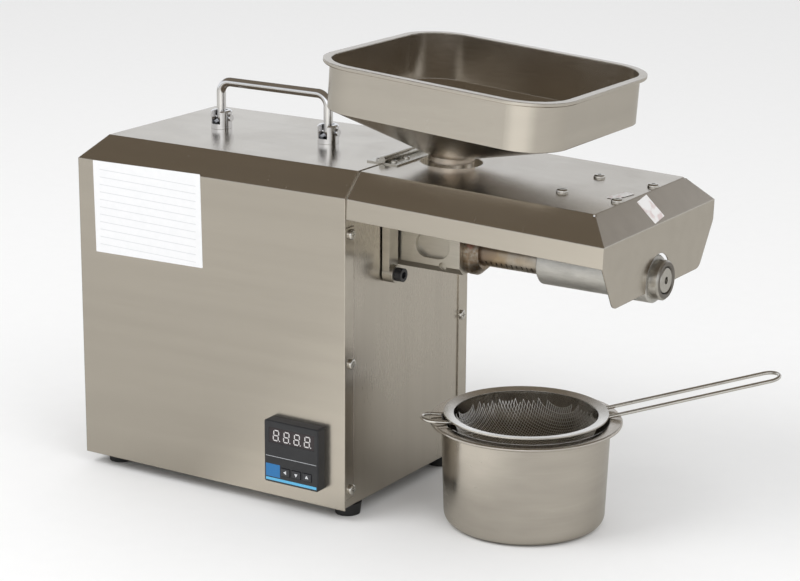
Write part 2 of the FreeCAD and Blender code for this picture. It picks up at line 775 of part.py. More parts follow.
controller_clip = cut("controller_clip", clip_frame, [clip_hole])

# -------------------------------------------------- inlet and rear switches
inlet_flange = block(
    "InletFlange", ("casing_rear - 3", "casing_rear"), ("inlet_y - 25", "inlet_y + 25"),
    ("inlet_z - 11.5", "inlet_z + 11.5"),
)
inlet_shell = block(
    "InletShell", ("casing_rear - 0.5", "casing_rear + 24"),
    ("inlet_y - inlet_width/2 + 0.2", "inlet_y + inlet_width/2 - 0.2"),
    ("inlet_z - inlet_height/2 + 0.2", "inlet_z + inlet_height/2 - 0.2"),
)
inlet_well = block(
    "InletWell", ("casing_rear - 4", "casing_rear + 16"), ("inlet_y - 12.1", "inlet_y + 12.1"),
    ("inlet_z - 8.1", "inlet_z + 8.1"),
)
inlet_eyes = [
    rod("InletEye" + str(i), "x", "1.75", "casing_rear - 4", "casing_rear + 1",
        ("inlet_y " + way + " 20", "inlet_z"))
    for i, way in enumerate("-+")
]
pin_places = (("inlet_y", "inlet_z + 3"), ("inlet_y - 7", "inlet_z - 2.5"), ("inlet_y + 7", "inlet_z - 2.5"))
pin_blades = [
    block("InletPin" + str(i), ("casing_rear + 1", "casing_rear + 29"), (y + " - 1", y + " + 1"),
          (z + " - 2", z + " + 2"))
    for i, (y, z) in enumerate(pin_places)
]
inlet_pins = group("inlet_pins", pin_blades)
power_inlet = cut("power_inlet", fuse("InletSolid", [inlet_flange, inlet_shell]),
                  [inlet_well] + inlet_eyes + pin_blades)
inlet_screws = group("inlet_screws", [
    pan_screw("InletScrew" + str(i), "x", -1, "casing_rear - 3", ("inlet_y " + way + " 20", "inlet_z"),
              "8", "1.5", "2.9", "screw_head_height")
    for i, way in enumerate("-+")
])
extrude(
    shell, "Pocket", "InletScrewHoles", "x", ("casing_rear - 1", "casing_rear + 3"),
    rings=[(("inlet_y " + way + " 20", "inlet_z"), "1.6") for way in "-+"],
)
switch_frames = []
rockers = []
for i, place in enumerate(switch_places):
    tag = str(i + 1)
    lip = block("SwitchLip" + tag, ("casing_rear - 2", "casing_rear"), (place + " - 7.5", place + " + 7.5"),
                ("inlet_z - 10.5", "inlet_z + 10.5"))
    case = block("SwitchCase" + tag, ("casing_rear - 0.5", "casing_rear + 17"),
                 (place + " - switch_width/2 + 0.2", place + " + switch_width/2 - 0.2"),
                 ("inlet_z - switch_height/2 + 0.2", "inlet_z + switch_height/2 - 0.2"))
    well = block("SwitchWell" + tag, ("casing_rear - 3", "casing_rear + 12"),
                 (place + " - 5.2", place + " + 5.2"), ("inlet_z - 8.2", "inlet_z + 8.2"))
    frame = cut("SwitchFrame" + tag, fuse("SwitchSolid" + tag, [lip, case]), [well])
    switch_frames.append(frame)
    hub = rod("RockerHub" + tag, "y", "rocker_radius - 0.7", "-4.8", "4.8", ("0", "0"))
    flats = [
        block("RockerBack" + tag, ("3.5", "12"), ("-6", "6"), ("-12", "12")),
        block("RockerFace" + tag, ("-12", "-5.2"), ("-6", "6"), ("-12", "12")),
    ]
    rocker = cut(("power_rocker", "direction_rocker")[i], hub, flats)
    tip_over(rocker, "rocker_pivot_x", "inlet_z", ("rocker_lean", "0")[i], place)
    rockers.append(rocker)
switch_housings = group("switch_housings", switch_frames)

# --------------------------------------------------- motor and gear reducer
# Motor under a two-stage reducer; the reducer carries the press on its output.
case_block = block("CaseBlock", ("case_rear", "case_front - case_lid"),
                   ("-case_half_width", "case_half_width"), ("case_low", "case_high"))
case_room = block("CaseRoom", ("case_rear + case_wall", "case_front"),
                  ("-case_half_width + case_wall", "case_half_width - case_wall"),
                  ("case_low + case_wall", "case_high - case_wall"))
motor_eye = rod("CaseMotorEye", "x", "motor_shaft_radius + 0.5", "case_rear - 1", "case_front",
                ("0", "motor_height"))
lay_boss = rod("CaseLayBoss", "x", "7", "case_rear + case_wall - 1", "case_rear + case_wall + 6",
               ("0", "lay_height"))
lay_eye = rod("CaseLayEye", "x", "4 + running_gap", "case_rear + 2", "case_rear + 30", ("0", "lay_height"))
out_boss = rod("CaseOutBoss", "x", "12", "case_rear + case_wall - 1", "case_rear + case_wall + 6",
               ("0", "barrel_height"))
out_eye = rod("CaseOutEye", "x", "shaft_radius + running_gap", "case_rear + 2", "case_rear + 30",
              ("0", "barrel_height"))
gearbox_case = cut(
    "gearbox_case",
    fuse("CaseSolid", [cut("CaseShell", case_block, [case_room, motor_eye]), lay_boss, out_boss]),
    [lay_eye, out_eye],
)
lid_plate = block("LidPlate", ("case_front - case_lid", "case_front"),
                  ("-case_half_width", "case_half_width"), ("case_low", "case_high"))
lid_boss = rod("LidBoss", "x", "16", "case_front - case_lid - 8", "case_front - 1", ("0", "barrel_height"))
lid_lay = rod("LidLayBoss", "x", "7", "case_front - case_lid - 6", "case_front - 1", ("0", "lay_height"))
lid_eye = rod("LidShaftEye", "x", "shaft_radius + running_gap", "case_front - 20", "case_front + 1",
              ("0", "barrel_height"))
lid_lay_eye = rod("LidLayEye", "x", "4 + running_gap", "case_front - 20", "case_front - 2",
                  ("0", "lay_height"))
lid_bored = cut("LidBored", fuse("LidSolid", [lid_plate, lid_boss, lid_lay]), [lid_eye, lid_lay_eye])

# Output gear and shaft turn with the press screw.
shaft = rod("OutShaft", "x", "shaft_radius", "case_rear + 2.2", "screw_rear - 0.1", ("0", "barrel_height"))
tongue = block("OutTongue", ("screw_rear - 1", "casing_front + 15"), ("-3.5", "3.5"),
               ("barrel_height - 3.5", "barrel_height + 3.5"))
output_shaft = fuse("output_shaft", [shaft, tongue])
gear_disc = rod("OutGearDisc", "x", "output_gear_radius", "output_gear_rear", "output_gear_rear + 12",
                ("0", "barrel_height"))
gear_eye = rod("OutGearEye", "x", "shaft_radius + 0.02", "output_gear_rear - 1", "output_gear_rear + 13",
               ("0", "barrel_height"))
web_holes = [
    rod("OutGearWeb" + str(i), "x", "6", "output_gear_rear - 1", "output_gear_rear + 13",
        ("20*cos(60deg*" + str(i) + ")", "barrel_height + 20*sin(60deg*" + str(i) + ")"))
    for i in range(6)
]
output_gear = cut("output_gear", gear_disc, [gear_eye] + web_holes)
lay_shaft = rod("LayShaft", "x", "4", "case_rear + 2.2", "case_front - 2.2", ("0", "lay_height"))
lay_pinion = rod("LayPinion", "x", "lay_pinion_radius", "output_gear_rear - 0.5", "lay_gear_rear",
                 ("0", "lay_height"))
lay_wheel = rod("LayWheel", "x", "lay_gear_radius", "lay_gear_rear", "lay_gear_rear + 8", ("0", "lay_height"))
layshaft_gears = fuse("layshaft_gears", [lay_shaft, lay_pinion, lay_wheel])

# Motor: laminated body between two end bells, rotor with its fan and pinion.
motor_body = cut("motor_body", rod("MotorCan", "x", "motor_radius", "motor_rear + 14", "case_rear - 14",
                                   ("0", "motor_height")),
                 [rod("MotorBore", "x", "24", "motor_rear + 10", "case_rear - 10", ("0", "motor_height"))])
bells = []
for tag, low, high in (("Rear", "motor_rear", "motor_rear + 14"), ("Front", "case_rear - 14", "case_rear")):
    cup = rod("Bell" + tag, "x", "motor_radius - 1.5", low, high, ("0", "motor_height"))
    inner = (low + " + 3", high + " + 1") if tag == "Rear" else (low + " - 1", high + " - 3")
    room = rod("BellRoom" + tag, "x", "motor_radius - 6", inner[0], inner[1], ("0", "motor_height"))
    eye = rod("BellEye" + tag, "x", "motor_shaft_radius + running_gap", low + " - 1", high + " + 1",
              ("0", "motor_height"))
    bells.append(cut("MotorBell" + tag, cup, [room, eye]))
motor_bells = group("motor_bells", bells)
rotor_axle = rod("RotorAxle", "x", "motor_shaft_radius", "motor_rear - 16", "lay_gear_rear - 1",
                 ("0", "motor_height"))
rotor_core = rod("RotorCore", "x", "23.4", "motor_rear + 16", "case_rear - 16", ("0", "motor_height"))
pinion = rod("MotorPinion", "x", "motor_pinion_radius", "lay_gear_rear - 1", "lay_gear_rear + 9",
             ("0", "motor_height"))
motor_rotor = fuse("motor_rotor", [rotor_axle, rotor_core, pinion])
fan_hub = rod("FanHub", "x", "9", "motor_rear - 14", "motor_rear - 4", ("0", "motor_height"))
fan_disc = rod("FanDisc", "x", "33", "motor_rear - 5.5", "motor_rear - 4", ("0", "motor_height"))
blades = []
for i in range(8):
    blade = block("FanBlade" + str(i), ("motor_rear - 14", "motor_rear - 5"), ("8", "32"), ("-0.7", "0.7"))
    blade.Placement = FreeCAD.Placement(FreeCAD.Vector(), FreeCAD.Rotation(X_AXIS, 45 * i))
    seat(blade, "motor_rear - 14", "8*cos(45deg*" + str(i) + ") + 0.7*sin(45deg*" + str(i) + ")",
         "motor_height + 8*sin(45deg*" + str(i) + ") - 0.7*cos(45deg*" + str(i) + ")")
    blades.append(blade)
fan_eye = rod("FanEye", "x", "motor_shaft_radius + 0.02", "motor_rear - 15", "motor_rear - 3",
              ("0", "motor_height"))
cooling_fan = cut("cooling_fan", fuse("FanSolid", [fan_hub, fan_disc] + blades), [fan_eye])

# Start capacitor and power board stand on the pan.
capacitor = rod("capacitor", "z", "15", "foot_height + 1.2", "foot_height + 62",
                ("casing_rear + 44", "-half_width + 35.5"))
board = block("PowerBoard", ("casing_rear + 45", "casing_rear + 125"),
              ("half_width - 71.5", "half_width - 13.5"), ("board_z", "board_z + 1.6"))
coil = block("BoardCoil", ("casing_rear + 50", "casing_rear + 72"),
             ("half_width - 65.5", "half_width - 43.5"), ("board_z + 1", "board_z + 20"))
relay = block("BoardRelay", ("casing_rear + 80", "casing_rear + 100"),
              ("half_width - 65.5", "half_width - 49.5"), ("board_z + 1", "board_z + 17"))
drum = rod("BoardDrum", "z", "9", "board_z + 1", "board_z + 26", ("casing_rear + 60", "half_width - 27.5"))
power_board = fuse("power_board", [board, coil, relay, drum])
post_spots = [(x, y) for x in ("casing_rear + 49", "casing_rear + 121")
              for y in ("half_width - 68.5", "half_width - 16.5")]
posts = [
    rod("BoardPost" + str(i), "z", "2.5", "foot_height + 1.2", "board_z", spot)
    for i, spot in enumerate(post_spots)
]
board_posts = group("board_posts", posts)

# ------------------------------------------------------------ pressing barrel
# Feed block bolted to the reducer; it takes the hopper neck from above and the
# slotted cage from the front.
feed = body("feed_block")
feed_solid = extrude(
    feed, "Pad", "FeedSolid", "x", ("casing_front", "seat_front"),
    [rectangle(("-seat_half_width", "seat_half_width"), ("seat_bottom", "seat_top"))],
)
dress(
    feed, "Chamfer", "FeedUnderEdges", feed_solid,
    lambda b: b.XLength > 1 and lies(b.ZMin, b.ZMax, got("seat_bottom")), "seat_chamfer",
)
extrude(feed, "Pocket", "FeedBore", "x", ("casing_front - 1", "seat_front + 1"),
        rings=[(("0", "barrel_height"), "bore_radius")])
extrude(feed, "Pocket", "CageSocket", "x", ("seat_front - 12", "seat_front + 1"),
        rings=[(("0", "barrel_height"), "cage_radius + running_gap")])
extrude(feed, "Pocket", "NeckSocket", "z", ("seat_top - inlet_depth", "seat_top + 1"),
        rings=[(("throat_x", "0"), "neck_radius + neck_play")])
extrude(feed, "Pocket", "FeedThroat", "z", ("barrel_height", "seat_top"),
        rings=[(("throat_x", "0"), "throat_radius")])
for side, reach in (("Near", ("-seat_half_width - 1", "-seat_half_width + recess_depth")),
                    ("Far", ("seat_half_width - recess_depth", "seat_half_width + 1"))):
    recess = sketch_on(feed, "Recess" + side + "_sketch", "y", reach[0])
    add_stadium(recess, "recess_x", "recess_z", "recess_half_length", "recess_radius")
    hollowed = feed.newObject("PartDesign::Pocket", "Recess" + side)
    hollowed.Profile = recess
    bind(hollowed, "Length", "(" + reach[1] + ") - (" + reach[0] + ")")
    recess.Visibility = False
    doc.recompute()
    extrude(feed, "Pocket", "CrossHole" + side, "y", reach, rings=[(("cross_hole_x", "cross_hole_z"), "3")])
bolts = []
for i, spot in enumerate(bolt_spots):
    bolts.append(rod("SeatBolt" + str(i + 1), "x", "seat_bolt_radius", "panel_back - 3",
                     "casing_front + 10", spot))
extrude(feed, "Pocket", "SeatBoltHoles", "x", ("casing_front - 1", "casing_front + 11"),
        rings=[(spot, "seat_bolt_radius + running_gap") for spot in bolt_spots])
seat_studs = group("seat_studs", bolts)
lid_holes = [
    rod("LidStudHole" + str(i), "x", "seat_bolt_radius + running_gap", "panel_back - 3.5",
        "panel_back + 1", spot)
    for i, spot in enumerate(bolt_spots)
]
lid_holes += [
    rod("LidClampHole" + str(i), "x", "clamp_screw_radius + running_gap", "panel_back - 3.5",
        "panel_back + 1", (side + "yoke_y", "yoke_boss_z"))
    for i, side in enumerate(("-", ""))
]
gearbox_lid = cut("gearbox_lid", lid_bored, lid_holes)

# Clamp yoke over the block, held by a socket-head screw at the foot of each arm.
arms = []
for side in ("-", ""):
    tag = "Near" if side else "Far"
    y = side + "yoke_y"
    arms.append(block("YokeArm" + tag, ("casing_front", "casing_front + yoke_thick"),
                      (y + " - yoke_half", y + " + yoke_half"), ("yoke_boss_z", "seat_top + 7")))
    arms.append(rod("YokeBoss" + tag, "x", "boss_radius", "casing_front", "casing_front + yoke_thick + 3",
                    (y, "yoke_boss_z")))
arms.append(block("YokeBridge", ("casing_front", "casing_front + yoke_thick"),
                  ("-yoke_y - yoke_half", "yoke_y + yoke_half"), ("seat_top", "seat_top + 7")))
yoke_holes = [
    rod("YokeHole" + str(i), "x", "clamp_screw_radius + running_gap", "casing_front - 1", "casing_front + 12",
        (side + "yoke_y", "yoke_boss_z"))
    for i, side in enumerate(("-", ""))
]
clamp_yoke = cut("clamp_yoke", fuse("YokeSolid", arms), yoke_holes)
clamps = []
for i, side in enumerate(("-", "")):
    spot = (side + "yoke_y", "yoke_boss_z")
    head = rod("ClampHead" + str(i), "x", "5", "clamp_face", "clamp_face + 6", spot)
    stem = rod("ClampStem" + str(i), "x", "clamp_screw_radius", "panel_back - 3", "clamp_face", spot)
    hexagon = doc.addObject("Part::Prism", "ClampKey" + str(i))
    hexagon.Polygon = 6
    bind(hexagon, "Circumradius", "2.9")
    bind(hexagon, "Height", "4")
    hexagon.Placement = FreeCAD.Placement(FreeCAD.Vector(), TURNS["x"])
    seat(hexagon, "clamp_face + 3", spot[0], spot[1])
    clamps.append(cut("ClampScrew" + str(i), fuse("ClampSolid" + str(i), [head, stem]), [hexagon]))
clamp_screws = group("clamp_screws", clamps)

# Lock collar, slotted cage, heated sleeve and end nut on one axis.
collar = body("lock_collar")
spin(collar, "Revolution", "CollarTurned", [
    ("seat_front", "cage_radius + running_gap"),
    ("seat_front", "18"),
    ("seat_front + 4.5", "18"),
    ("collar_front", "13.2"),
    ("collar_front", "cage_radius + running_gap"),
])
bind(collar, "Placement.Base.z", "barrel_height")
tube = rod("CageTube", "x", "cage_radius", "cage_rear", "cage_front", ("0", "barrel_height"))
tube_bore = rod("CageBore", "x", "bore_radius", "cage_rear - 1", "cage_front + 1", ("0", "barrel_height"))
oil_slots = [
    block("OilSlot" + str(i),
          ("slot_first + slot_step*" + str(i), "slot_first + slot_width + slot_step*" + str(i)),
          ("-11", "11"), ("barrel_height - 12", "barrel_height - 4.5"))
    for i in range(10)
]
press_cage = cut("press_cage", tube, [tube_bore] + oil_slots)
sleeve = body("heater_sleeve")
sleeve_turned = spin(sleeve, "Revolution", "SleeveTurned", [
    ("sleeve_rear", "cage_radius + running_gap"),
    ("sleeve_rear", "sleeve_radius - 1"),
    ("sleeve_rear + 1", "sleeve_radius"),
    ("sleeve_front - 16", "sleeve_radius"),
    ("sleeve_front - 15", "sleeve_radius + 0.7"),
    ("sleeve_front - 1", "sleeve_radius + 0.7"),
    ("sleeve_front", "sleeve_radius"),
    ("sleeve_front", "thread_radius + fit_gap"),
    ("cage_front", "thread_radius + fit_gap"),
    ("cage_front", "cage_radius + running_gap"),
])
bind(sleeve, "Placement.Base.z", "barrel_height")
nut = body("end_nut")
spin(nut, "Revolution", "NutTurned", [
    ("cage_front + 0.2", "choke_radius"),
    ("cage_front + 0.2", "thread_radius"),
    ("sleeve_front", "thread_radius"),
    ("sleeve_front", "nut_radius"),
    ("nut_front - 1.4", "nut_radius"),
    ("nut_front", "nut_radius - 1.4"),
    ("nut_front", "choke_radius + 0.8"),
    ("nut_front - 0.8", "choke_radius"),
])
bind(nut, "Placement.Base.z", "barrel_height")

# Press screw: tapered core with one helical flight, driven by a square tongue.
auger = body("press_screw")
spin(auger, "Revolution", "ScrewCore", [
    ("screw_rear", "0"),
    ("screw_rear", "8"),
    ("flight_start - 1", "8"),
    ("flight_start - 1", "core_start"),
    ("flight_end + 2", "core_end"),
    ("nut_front - 11", "core_end"),
    ("nut_front - 8.5", "choke_radius - 0.6"),
    ("nut_front - 0.8", "choke_radius - 0.6"),
    ("nut_front - 0.2", "choke_radius - 1.2"),
    ("nut_front - 0.2", "2.6"),
    ("nut_front - 5", "2.6"),
    ("nut_front - 7", "0"),
])
flight_profile = sketch_on(auger, "FlightProfile", "y", "0")
add_loop(flight_profile, [
    ("flight_start", "core_start - 0.8"),
    ("flight_start + 3.4", "core_start - 0.8"),
    ("flight_start + 2.6", "flight_radius"),
    ("flight_start + 0.8", "flight_radius"),
])
flight = auger.newObject("PartDesign::AdditiveHelix", "ScrewFlight")
flight.Profile = flight_profile
flight.ReferenceAxis = (flight_profile, ["H_Axis"])
flight.Mode = 0
bind(flight, "Pitch", "flight_pitch")
bind(flight, "Height", "flight_pitch*(flight_turns - 0.5)")
doc.recompute()
extrude(auger, "Pocket", "DriveSocket", "x", ("screw_rear - 1", "screw_rear + 13.2"),
        [rectangle(("-3.55", "3.55"), ("-3.55", "3.55"))])
bind(auger, "Placement.Base.z", "barrel_height")

# -------------------------------------------------------------- cover hinge
# Butt hinge along the seam; the cover side is made level about the hinge pin
# and set down with the droop of the closed cover.
leaf_spots = ["-leaf_screw_outer", "-leaf_screw_inner", "leaf_screw_inner", "leaf_screw_outer"]
knuckles = [("-hinge_half + hinge_half*2/5*" + str(i), "-hinge_half + hinge_half*2/5*" + str(i + 1))
            for i in range(5)]


def hinge_leaf(name, way, own, x, z):
    """One leaf with its knuckles; way -1 lies over the casing, +1 over the cover."""
    low = z + " - hinge_drop"
    reach = (x + " - leaf_width", x + " - 0.3") if way < 0 else (x + " + 0.3", x + " + leaf_width")
    plate = block(name + "_plate", reach, ("-hinge_half", "hinge_half"), (low, low + " + leaf_sheet"))
    solids, tools = [plate], []
    for i, (start, end) in enumerate(knuckles):
        tag = name + "_" + str(i)
        if i in own:
            solids.append(rod(tag + "_roll", "y", "knuckle_radius", start + " + 0.1", end + " - 0.1", (x, z)))
        else:
            tools.append(rod(tag + "_gap", "y", "knuckle_radius + 0.4", start + " - 0.1", end + " + 0.1",
                             (x, z)))
    tools.append(rod(name + "_eye", "y", "hinge_pin_radius + running_gap", "-hinge_half - 1",
                     "hinge_half + 1", (x, z)))
    side = " + " if way > 0 else " - "
    for i, y in enumerate(leaf_spots):
        tools.append(rod(name + "_hole" + str(i), "z", "leaf_screw_radius + running_gap", low + " - 1",
                         low + " + 3", (x + side + "leaf_screw_x", y)))
    base = cut(name + "_cleared", fuse(name + "_joined", solids[:1]), [t for t in tools if "_gap" in t.Name])
    rolled = fuse(name + "_rolled", [base] + solids[1:])
    return cut(name, rolled, [t for t in tools if "_gap" not in t.Name])


hinge_casing_leaf = hinge_leaf("hinge_casing_leaf", -1, (0, 2, 4), "hinge_x", "hinge_z")
hinge_pin = rod("hinge_pin", "y", "hinge_pin_radius", "-hinge_half", "hinge_half", ("hinge_x", "hinge_z"))
hinge_casing_screws = group("hinge_casing_screws", [
    pan_screw("HingeScrew" + str(i), "z", 1, "casing_top + leaf_sheet", ("hinge_x - leaf_screw_x", y), "4.5",
              "leaf_screw_radius", "leaf_head_radius", "leaf_head_height")
    for i, y in enumerate(leaf_spots)
])
extrude(shell, "Pocket", "HingeScrewHoles", "z", ("casing_top - 3", "casing_top + 1"),
        rings=[(("hinge_x - leaf_screw_x", y), "leaf_screw_radius + running_gap") for y in leaf_spots])
cover_leaf = hinge_leaf("CoverLeaf", 1, (1, 3), "0", "0")
cover_leaf_screws = group("CoverLeafScrews", [
    pan_screw("CoverLeafScrew" + str(i), "z", 1, "leaf_sheet - hinge_drop", ("leaf_screw_x", y), "4.5",
              "leaf_screw_radius", "leaf_head_radius", "leaf_head_height")
    for i, y in enumerate(leaf_spots)
])

# ---------------------------------------------------------------- top cover
# Folded hood: top, three chamfers, side skirts, and a front plate that narrows
# downwards and straddles the barrel with an open notch.
hood = body("top_cover")
hood_block = extrude(
    hood, "Pad", "HoodBlock", "z", ("cover_low", "cover_top"),
    [rectangle(("seam_gap/2", "cover_length"), ("-half_width", "half_width"))],
)
hood_folds = dress(
    hood, "Chamfer", "HoodFolds", hood_block,
    lambda b: lies(b.ZMin, b.ZMax, got("cover_top")) and not lies(b.XMin, b.XMax, got("seam_gap") / 2),
    "casing_chamfer",
)
hollow(hood, "HoodSkin", hood_folds, [-X_AXIS, -Z_AXIS], "casing_sheet")
plate = extrude(
    hood, "Pad", "FrontPlate", "x", ("cover_length - casing_sheet", "cover_length"),
    [[("-half_width", "cover_low"), ("-half_width + plate_slant", "plate_low"),
      ("half_width - plate_slant", "plate_low"), ("half_width", "cover_low"),
      ("half_width", "cover_low + 1"), ("-half_width", "cover_low + 1")]],
)
dress(
    hood, "Fillet", "PlateCorners", plate,
    lambda b: b.ZMax < got("plate_low") + 0.1 and b.XLength > 0.5 and b.YLength < 0.1, "plate_corner",
)
extrude(
    hood, "Pocket", "BarrelNotch", "x", ("cover_length - 5", "cover_length + 1"),
    [rectangle(("-notch_radius", "notch_radius"), ("plate_low - 5", "notch_z"))],
)
extrude(
    hood, "Pocket", "BarrelNotchTop", "x", ("cover_length - 5", "cover_length + 1"),
    rings=[(("0", "notch_z"), "notch_radius")],
)
cover_spots = [
    ("cover_screw_x + cover_screw_step*" + str(row), side + "cover_screw_y")
    for row in range(2) for side in ("-", "")
]
neck_hole = ("neck_offset - seam_gap/2", "0")
corner_spots = [("cover_length - casing_chamfer",
                 side + "(half_width - casing_chamfer)") for side in ("-", "")]
extrude(
    hood, "Pocket", "CoverHoles", "z", ("cover_top - 4", "cover_top + 1"),
    rings=[(neck_hole, "neck_hole_radius")]
    + [(spot, "1.2") for spot in corner_spots]
    + [(spot, "screw_radius + running_gap") for spot in cover_spots]
    + [(("leaf_screw_x", y), "leaf_screw_radius + running_gap") for y in leaf_spots],
)
cover_screws = group("CoverScrews", [
    pan_screw("CoverScrew" + str(i), "z", 1, "cover_top", spot, "6.5", "screw_radius", "4.3",
              "screw_head_height")
    for i, spot in enumerate(cover_spots)
])

# Stiffener and drip guard under the cover, with the nuts of its four screws.
stay_x = ("cover_screw_x - 12", "cover_screw_x + cover_screw_step + 3")
stay_plate = block("StayPlate", stay_x, ("-cover_screw_y - 10", "cover_screw_y + 10"),
                   ("cover_top - casing_sheet - 1.5", "cover_top - casing_sheet"))
stay_lip = block("StayLip", (stay_x[0], stay_x[0] + " + 1.5"), ("-cover_screw_y - 10", "cover_screw_y + 10"),
                 ("cover_top - casing_sheet - 14", "cover_top - casing_sheet"))
stay_holes = [
    rod("StayHole" + str(i), "z", "screw_radius + running_gap", "cover_top - 6", "cover_top + 1", spot)
    for i, spot in enumerate(cover_spots)
]
cover_stay = cut("CoverStay", fuse("StaySolid", [stay_plate, stay_lip]), stay_holes)
stay_nuts = []
for i, (x, y) in enumerate(cover_spots):
    hexagon = doc.addObject("Part::Prism", "StayNutHex" + str(i))
    hexagon.Polygon = 6
    bind(hexagon, "Circumradius", "screw_head_radius")
    bind(hexagon, "Height", "3")
    seat(hexagon, x, y, "cover_top - casing_sheet - 4.5")
    eye = rod("StayNutEye" + str(i), "z", "screw_radius + running_gap", "cover_top - 9", "cover_top", (x, y))
    stay_nuts.append(cut("StayNut" + str(i), hexagon, [eye]))
cover_nuts = group("CoverNuts", stay_nuts)
cover_set = {
    "top_cover": hood,
    "hinge_cover_leaf": cover_leaf,
    "hinge_cover_screws": cover_leaf_screws,
    "cover_screws": cover_screws,
    "cover_stay": cover_stay,
    "cover_nuts": cover_nuts,
}
for part in cover_set.values():
    tip_over(part, "hinge_x", "hinge_z", "cover_droop")

# ------------------------------------------------------------------- hopper
# Deep rounded tray with a flat rolled rim; its floor funnels into a round neck
# behind the middle, which passes the cover and stands in the feed block.


def add_rounded(sketch, middle, half_length, half_breadth, corner):
    """Rounded rectangle of four edges and four corner arcs, all sizes by name."""
    m, a, b, r = (got(name) for name in (middle, half_length, half_breadth, corner))
    corners, arcs = [], []
    for sx, sy, flip in ((1, -1, False), (1, 1, True), (-1, 1, False), (-1, -1, True)):
        side = "{} {} {}".format(middle, "+" if sx > 0 else "-", half_length)
        inner = "{} {} ({} - {})".format(middle, "+" if sx > 0 else "-", half_length, corner)
        end = "{}{}".format("" if sy > 0 else "-", half_breadth)
        short = "{}({} - {})".format("" if sy > 0 else "-", half_breadth, corner)
        on_side = (m + sx * a, sy * (b - r), side, short)
        on_end = (m + sx * (a - r), sy * b, inner, end)
        centre = (m + sx * (a - r), sy * (b - r))
        corners += [on_side, on_end] if flip else [on_end, on_side]
        arcs += [(centre, corner), None]
    add_edges(sketch, corners, arcs)


def add_round(sketch, radius):
    """Circle about the origin in eight arcs that answer to a rounded rectangle."""
    r = got(radius)
    corners, arcs = [], []
    for angle in (290, 340, 20, 70, 110, 160, 200, 250):
        spot = FreeCAD.Rotation(Z_AXIS, angle).multVec(X_AXIS * r)
        corners.append((spot.x, spot.y, "{}*cos({}deg)".format(radius, angle),
                        "{}*sin({}deg)".format(radius, angle)))
        arcs.append(((0, 0), radius))
    add_edges(sketch, corners, arcs)


def rounded_pad(owner, kind, name, reach, sizes):
    low, high = reach
    sketch = sketch_on(owner, name + "_sketch", "z", low if kind == "Pad" else high)
    add_rounded(sketch, "pan_shift", *sizes)
    feature = owner.newObject("PartDesign::" + kind, name)
    feature.Profile = sketch
    bind(feature, "Length", "(" + high + ") - (" + low + ")")
    sketch.Visibility = False
    doc.recompute()
    return feature


def funnel(owner, kind, name, top_level, top_sizes, low_level, low_radius):
    top_sketch = sketch_on(owner, name + "_top", "z", top_level)
    add_rounded(top_sketch, "pan_shift", *top_sizes)
    low_sketch = sketch_on(owner, name + "_low", "z", low_level)
    add_round(low_sketch, low_radius)
    doc.recompute()
    loft = owner.newObject("PartDesign::" + kind, name)
    loft.Profile = top_sketch
    loft.Sections = [low_sketch]
    loft.Ruled = True
    for sketch in (top_sketch, low_sketch):
        sketch.Visibility = False
    doc.recompute()
    return loft


WALL = ("wall_half_length", "wall_half_breadth", "wall_corner")
ROOM = ("room_half_length", "room_half_breadth", "room_corner")
pan = body("hopper")
rounded_pad(pan, "Pad", "PanWall", ("fold_height", "rim_height"), WALL)
funnel(pan, "AdditiveLoft", "PanFunnel", "fold_height", WALL, "neck_top", "neck_radius")
extrude(pan, "Pad", "PanNeck", "z", ("-neck_length", "neck_top"), rings=[(("0", "0"), "neck_radius")])
rounded_pad(pan, "Pad", "PanRim", ("rim_height - pan_sheet", "rim_height"),
            ("pan_half_length", "pan_half_breadth", "pan_corner"))
rounded_pad(pan, "Pocket", "PanRoom", ("fold_height", "rim_height + 1"), ROOM)
funnel(pan, "SubtractiveLoft", "PanFunnelRoom", "fold_height + 0.001", ROOM, "neck_top + pan_sheet*0.4",
       "neck_bore")
extrude(pan, "Pocket", "NeckBore", "z", ("-neck_length - 1", "neck_top + pan_sheet*0.4 + 0.01"),
        rings=[(("0", "0"), "neck_bore")])
roll_path = sketch_on(pan, "RollPath", "z", "rim_height - roll_radius")
add_rounded(roll_path, "pan_shift", "roll_half_length", "roll_half_breadth", "roll_corner")
roll_profile = sketch_on(pan, "RollProfile", "y", "0")
add_ring(roll_profile, ("pan_shift + roll_half_length", "rim_height - roll_radius"), "roll_radius")
doc.recompute()
roll = pan.newObject("PartDesign::AdditivePipe", "RolledRim")
roll.Profile = roll_profile
roll.Spine = (roll_path, [])
doc.recompute()
tip_over(pan, "neck_x", "casing_top", "hopper_lean")

# ------------------------------------------------------------ pot and strainer
# Spun pot that stands under the cage, with a strainer hung on its rim.


def cup_solid(name, low_radius, top_radius, low, high, corner):
    cone = rod(name + "_cone", "z", low_radius, low, high, ("pot_x", "pot_y"), top_radius)
    doc.recompute()
    result = doc.addObject("Part::Fillet", name)
    result.Base = cone
    result.Edges = [(i + 1, corner, corner) for i, e in enumerate(cone.Shape.Edges)
                    if e.isClosed() and abs(e.BoundBox.ZMax - cone.Shape.BoundBox.ZMin) < 0.1]
    return result


pot_outside = cup_solid("PotOutside", "pot_low_radius", "pot_top_radius", "0", "pot_height",
                        got("pot_corner"))
pot_inside = cup_solid("PotInside", "pot_low_radius - pot_sheet", "pot_top_radius - pot_sheet", "pot_sheet",
                       "pot_height + 0.5", got("pot_corner") - got("pot_sheet"))
pot_rim = rod("PotRim", "z", "pot_rim_radius", "pot_height - pot_sheet", "pot_height", ("pot_x", "pot_y"))
pot_roll = doc.addObject("Part::Torus", "PotRoll")
bind(pot_roll, "Radius1", "pot_rim_radius - 0.6")
bind(pot_roll, "Radius2", "1.4")
seat(pot_roll, "pot_x", "pot_y", "pot_height - 1.4")
pot = cut("pot", fuse("PotSolid", [pot_outside, pot_rim, pot_roll]), [pot_inside])

